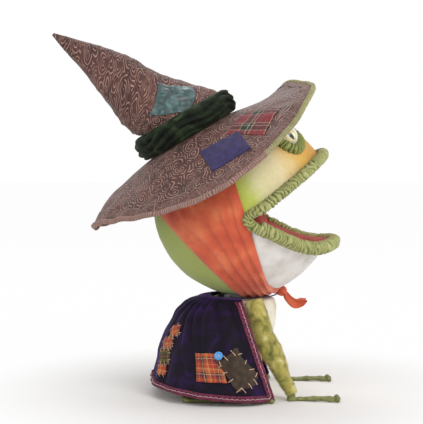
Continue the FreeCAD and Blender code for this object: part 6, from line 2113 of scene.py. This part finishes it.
@dataclass
class Limbs:
    """The stuffed trunk, the plush arms and haunches, and the long-fingered hands and feet."""

    trunk_rows: Rows = ((4, -40, 55, 62), (30, -42, 62, 71), (60, -36, 67, 72),
                                             (90, -25, 68, 65),
                                             (112, -13, 59, 55), (125, -3, 48, 47), (131, 0, 41, 41),
                                             (133, 0, 36, 36))
    wrist: Sequence[float] = (64.0, 73.0, 9.0)
    shoulder: Sequence[float] = (16.0, 55.0, 116.0)
    shoulder_radius: float = 13.0
    wrist_radius: float = 7.5
    finger_radius: float = 1.6
    finger_length: float = 66.0
    finger_spread: float = 11.0
    pad_radius: float = 3.4
    haunch: Sequence[float] = (-27.0, 70.0, 50.0)
    haunch_size: Sequence[float] = (52.0, 30.0, 44.0)
    heel_x: float = -77.0
    foot_y: float = 86.0
    toe_length: float = 37.0
    pile_length: float = 2.4
    pile_density: int = 900000
    fibre: float = 0.22
    sole_length: float = 78.0

    def build(self, w: Wardrobe) -> None:
        """Makes the trunk and all four limbs."""
        self.trunk(w)
        for word, side in SIDES:
            self.arm(word, side, w)
            self.hand(word, side, w)
            self.thigh(word, side, w)
            self.foot(word, side, w)

    def trunk(self, w: Wardrobe) -> None:
        """The trunk's cover: white on the chest."""
        z = np.linspace(4, 133, 90)
        rows = smooth_rows(self.trunk_rows, z)
        t = whole_turn(160)[None, :]
        points = np.stack([rows[:, :1] + rows[:, 1:2] * np.cos(t), rows[:, 2:3] * np.sin(t),
                           z[:, None] + 0 * t], axis=-1)
        grid = Cloth(points, flatten(points, True), True)
        grid.face(points - vec(-30, 0, 60))
        seam = np.exp(-((np.sin(t) * 30 / 1.2) ** 2)) * (np.cos(t) > 0)
        grid = grid.lifted(0.4 + undulate(points, 40, 131) * 0.8 - seam * 0.9)
        piece = w.dress(grid.shell("trunk_cover", 1.2), "chest")
        settle(piece, Body.TORSO, "arm_plush", "trunk_shell")

    def arm_line(self, side: float) -> tuple[Array, Array]:
        """The middle line and the radii of one arm."""
        wrist = vec(self.wrist[0], side * self.wrist[1], self.wrist[2])
        shoulder = vec(self.shoulder[0], side * self.shoulder[1], self.shoulder[2])
        rows = ((0, (-2, -side * 6, 16), 0.9), (0.12, (0, 0, 0), 1.15), (0.4, (-4, side * 2, 0), 1.05),
                (0.7, (-2, side, 0), 0.72), (1.0, (0, 0, 0), 0.0))
        table = [[s, *(shoulder + (wrist - shoulder) * s + vec(*shift)),
                  self.wrist_radius + (self.shoulder_radius - self.wrist_radius) * swell] for s, shift,
                 swell in rows]
        values = smooth_rows(table, np.linspace(0, 1, 110))
        return values[:, :3], values[:, 3]

    def arm(self, word: str, side: float, w: Wardrobe) -> None:
        """One arm with its short worn pile."""
        line, radii = self.arm_line(side)
        grid = limb_cloth(line, radii - 1.0, 64)
        grid.face(grid.points - line[:, None, :])
        grid = grid.lifted(undulate(grid.points, 30, 141) * 1.1 + undulate(grid.points, 9, 142) * 0.4)
        piece = w.dress(capped(grid, f"{word}_arm_plush"), "plush")
        grow(piece, w.pile, Length=self.pile_length * MM, Thickness=self.fibre * MM,
             Density=self.pile_density,
             Lean=0.75, Seed=143, Material=w["plush"])
        settle(piece, Body.TORSO, "arm_plush", f"{word}_arm")

    def thigh(self, word: str, side: float, w: Wardrobe) -> None:
        """One folded haunch under the cape."""
        centre = vec(self.haunch[0], side * self.haunch[1], self.haunch[2])
        way = ball_ways(np.linspace(0.02, math.pi - 0.02, 60), 90)
        low, high = (np.array(c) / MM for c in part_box(f"{word}_haunch"))
        points = np.clip(centre + way * np.array(self.haunch_size), low + 0.3, high - 0.3)
        grid = Cloth(points, flatten(points, True), True)
        piece = w.dress(capped(grid, f"{word}_haunch_plush"), "plush")
        settle(piece, Body.TORSO, "arm_plush", f"{word}_haunch")

    def fused(self, parts: Sequence[Object], name: str, voxel: float) -> Object:
        """Melts modelled parts into one skin, as clay worked together."""
        piece = join(name, parts)
        melt = piece.modifiers.new("melt", "REMESH")
        melt.mode, melt.voxel_size, melt.use_smooth_shade = "VOXEL", voxel * MM, True
        soft = piece.modifiers.new("soft", "SMOOTH")
        soft.factor, soft.iterations = 0.5, 4
        return bake(piece)

    def digit(self, start: Array, end: Array, name: str, knuckles: int = 3) -> list[Object]:
        """One finger or toe: a thin shaft with knuckles and a round pad at its tip."""
        t = np.linspace(0, 1, 60)
        line = start + (end - start) * t[:, None]
        line[:, 2] += 1.2 * np.sin(t * math.pi)
        swell = 0.5 * np.abs(np.sin(t * math.pi * knuckles)) ** 6
        radii = self.finger_radius * (1.25 - 0.25 * t + swell)
        way = (end - start) / np.linalg.norm(end - start)
        pad = end + vec(0, 0, self.pad_radius - end[2])
        s = np.linspace(-1, 1, 20)
        bulb = pad + way * (s[:, None] * self.pad_radius * 1.05)
        fat = self.pad_radius * np.sqrt(np.maximum(0.003, 1 - s**2))
        return [capped(limb_cloth(line, radii, 16), name + "_shaft"),
                capped(limb_cloth(bulb, fat, 20), name + "_pad")]

    def hand(self, word: str, side: float, w: Wardrobe) -> None:
        """One hand: a small palm and three long fingers that lie on the floor."""
        wrist = vec(self.wrist[0], side * self.wrist[1], 0)
        z = np.linspace(0.4, self.wrist[2], 24)
        radii = np.interp(z, [0.4, 3.5, 6, 9], [self.wrist_radius - 0.6, self.wrist_radius - 1.2, 5.2, 5.8])
        parts = [capped(limb_cloth(np.stack([wrist[0] + 0 * z, wrist[1] + 0 * z, z], axis=-1), radii, 32),
                        "palm")]
        for i in range(3):
            turn = math.radians((i - 1) * self.finger_spread + side * 2)
            way = vec(math.cos(turn), math.sin(turn), 0)
            start = wrist + vec(0, 0, self.finger_radius + 0.5)
            parts += self.digit(start, start + way * (self.finger_length - self.pad_radius), f"finger_{i}")
        piece = w.dress(self.fused(parts, f"{word}_hand_skin", 0.7), "hands")
        settle(piece, Body.TORSO, "hand_skin", f"{word}_hand")

    def foot(self, word: str, side: float, w: Wardrobe) -> None:
        """One long hind foot with three short toes."""
        t = np.linspace(0, 1, 60)
        line = np.stack([self.heel_x - 6 + (self.sole_length + 10) * t, side * self.foot_y + 0 * t,
                         4.2 + 0 * t], axis=-1)
        half = np.interp(t, [0, 0.06, 0.2, 0.6, 0.9, 1], [3, 8, 9.5, 9, 9.5, 4])
        across, up = np.tile(vec(0, 1, 0), (len(t), 1)), np.tile(vec(0, 0, 1), (len(t), 1))
        parts = [capped(ring_cloth(line, across, up, np.column_stack([half, half * 0 + 3.9]), 40), "sole")]
        for i in range(3):
            turn = math.radians((i - 1) * 16)
            way = vec(math.cos(turn), math.sin(turn), 0)
            start = vec(self.heel_x + self.sole_length, side * self.foot_y, self.finger_radius + 0.4)
            parts += self.digit(start, start + way * self.toe_length, f"toe_{i}", 2)
        piece = w.dress(self.fused(parts, f"{word}_foot_skin", 0.8), "hands")
        settle(piece, Body.TORSO, "hand_skin", f"{word}_foot")


@dataclass
class Works:
    """The drive, the batteries and the boards inside, which keep the frame's own meshes."""

    finishes: dict = field(default_factory=lambda: {
        "shell": ("base_plate", "battery_box", "battery_door", "switch_case", "switch_slider"),
        "carrier": ("motor_deck", "neck_bush", "neck_tube"),
        # these boards are near-black brown as painted shadow in the mouth
        "board": ("head_chassis", "jaw_motor_saddle", "palate_board", "jaw_board"),
        "gears": ("neck_gear", "neck_pinion", "jaw_gear", "jaw_pinion"),
        "steel": ("base_screws", "jaw_axle", "arm_wires"),
        "can": ("neck_motor", "jaw_motor", "speaker"),
        "cell": ("battery_cells",),
        "circuit": ("control_board",),
    })

    def build(self, w: Wardrobe) -> None:
        """Gives each rigid node its finish."""
        for key, nodes in self.finishes.items():
            for name in nodes:
                piece = frame["nodes"][name]
                piece.data.materials.clear()
                piece.data.materials.append(w[key])
                log.info("%s keeps the frame's mesh in %s", name, w[key].name)


def shows_backdrop(tree: Tree) -> Node:
    """Whether a ray is a camera, glossy or transmitted one, which are shown the plain backdrop."""
    rays = add(tree, "ShaderNodeLightPath")
    seen = add(tree, "ShaderNodeMath", [rays.outputs["Is Camera Ray"], rays.outputs["Is Glossy Ray"]],
               operation="MAXIMUM")
    return add(tree, "ShaderNodeMath", [seen, rays.outputs["Is Transmission Ray"]], operation="MAXIMUM")


@dataclass
class Studio:
    """A pale sweep of floor, broad soft lamps and a level camera at the toad's right side."""

    target: Sequence[float] = (-0.0438, 0.0, 0.250)
    distance: float = 2.0
    elevation: float = 4.0
    lens: float = 122.4

    def build(self) -> None:
        """Makes the floor, the lamps, the world and the camera."""
        self.floor()
        self.lamps()
        self.camera()

    def floor(self) -> None:
        """The floor: it takes the shadow near the toad and fades out to plain white."""
        bpy.ops.mesh.primitive_circle_add(vertices=96, radius=6.0, fill_type="NGON")
        disc = bpy.context.object
        disc.name = "floor"
        s = Surface("matt_paper_white", Roughness=0.9, Specular_IOR_Level=0.1)
        t = s.tree
        s.shader.inputs["Base Color"].default_value = linear("#f4f2f0")
        output = next(n for n in t.nodes if n.type == "OUTPUT_MATERIAL")
        reach = add(t, "ShaderNodeVectorMath", [s.place()], operation="LENGTH").outputs["Value"]
        fade = add(t, "ShaderNodeMapRange", {"Value": reach, "From Min": 0.12, "From Max": 0.42},
                   interpolation_type="SMOOTHSTEP")
        share = add(t, "ShaderNodeMath", [shows_backdrop(t), fade], operation="MULTIPLY")
        share = add(t, "ShaderNodeMath", [share, 0.97], operation="MULTIPLY")
        glow = add(t, "ShaderNodeEmission", {"Color": (1.0, 1.0, 1.0, 1.0), "Strength": 1.0})
        both = add(t, "ShaderNodeMixShader", [share, s.shader, glow])
        t.links.new(both.outputs[0], output.inputs["Surface"])
        disc.data.materials.append(s.material)

    def lamps(self) -> None:
        """A broad key from the camera's upper right, a fill, a rim, and an even white world."""
        for name, place, size, power in (
            ("key", (0.9, -1.5, 1.35), 1.3, 21.0),
            ("fill", (-1.3, -1.3, 0.8), 1.6, 8.0),
            ("rim", (-0.4, 1.3, 1.5), 1.2, 10.0),
            ("front", (1.8, 0.1, 0.7), 1.0, 6.0),
        ):
            lamp = bpy.data.lights.new(name, "AREA")
            lamp.energy, lamp.shape, lamp.size = power, "DISK", size
            thing = bpy.data.objects.new(name, lamp)
            bpy.context.scene.collection.objects.link(thing)
            thing.location = place
            thing.rotation_euler = (Vector((0, 0, 0.22)) - Vector(place)).to_track_quat("-Z", "Y").to_euler()
        world = bpy.data.worlds.new("studio")
        bpy.context.scene.world = world
        world.use_nodes = True
        t = world.node_tree
        t.nodes.clear()
        plain = add(t, "ShaderNodeBackground", {"Color": linear("#f6f6f8"), "Strength": 0.5})
        white = add(t, "ShaderNodeBackground", {"Color": (1.0, 1.0, 1.0, 1.0), "Strength": 1.0})
        both = add(t, "ShaderNodeMixShader", [shows_backdrop(t), plain, white])
        add(t, "ShaderNodeOutputWorld", {"Surface": both})
        bpy.context.scene.view_settings.view_transform = "Standard"

    def camera(self) -> None:
        """The camera, level with the toad's chest and square to its right side."""
        lens = bpy.data.cameras.new("camera")
        lens.lens, lens.sensor_width = self.lens, 36.0
        camera = bpy.data.objects.new("camera", lens)
        bpy.context.scene.collection.objects.link(camera)
        tip = math.radians(self.elevation)
        target = Vector(self.target)
        camera.location = target + Vector((0, -math.cos(tip), math.sin(tip))) * self.distance
        camera.rotation_euler = (target - camera.location).to_track_quat("-Z", "Y").to_euler()
        bpy.context.scene.camera = camera


def main() -> None:
    """Builds every piece round the frame, then the studio."""
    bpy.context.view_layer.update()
    wardrobe = Wardrobe()
    body = Anatomy.measured()
    log.info("head centre %s, radius %.1f, hinge %s", body.centre, body.radius, body.axis)
    wardrobe.made["skin"] = AirbrushedSkin(centre=body.centre * MM, angle=30.0).make()
    wardrobe.made["chest"] = PlainWeave("plush_chest_white", ("#cfc49a", "#e6e0cc", "#f0ece0"), 1.2,
                                        22.0).make()
    for part in (Head(body), Eyes(body), Kerchief(body), Hat(body), Cape(), Limbs(), Works()):
        log.info("building %s", type(part).__name__)
        part.build(wardrobe)
    Studio().build()


if __name__ == "__main__":
    main()
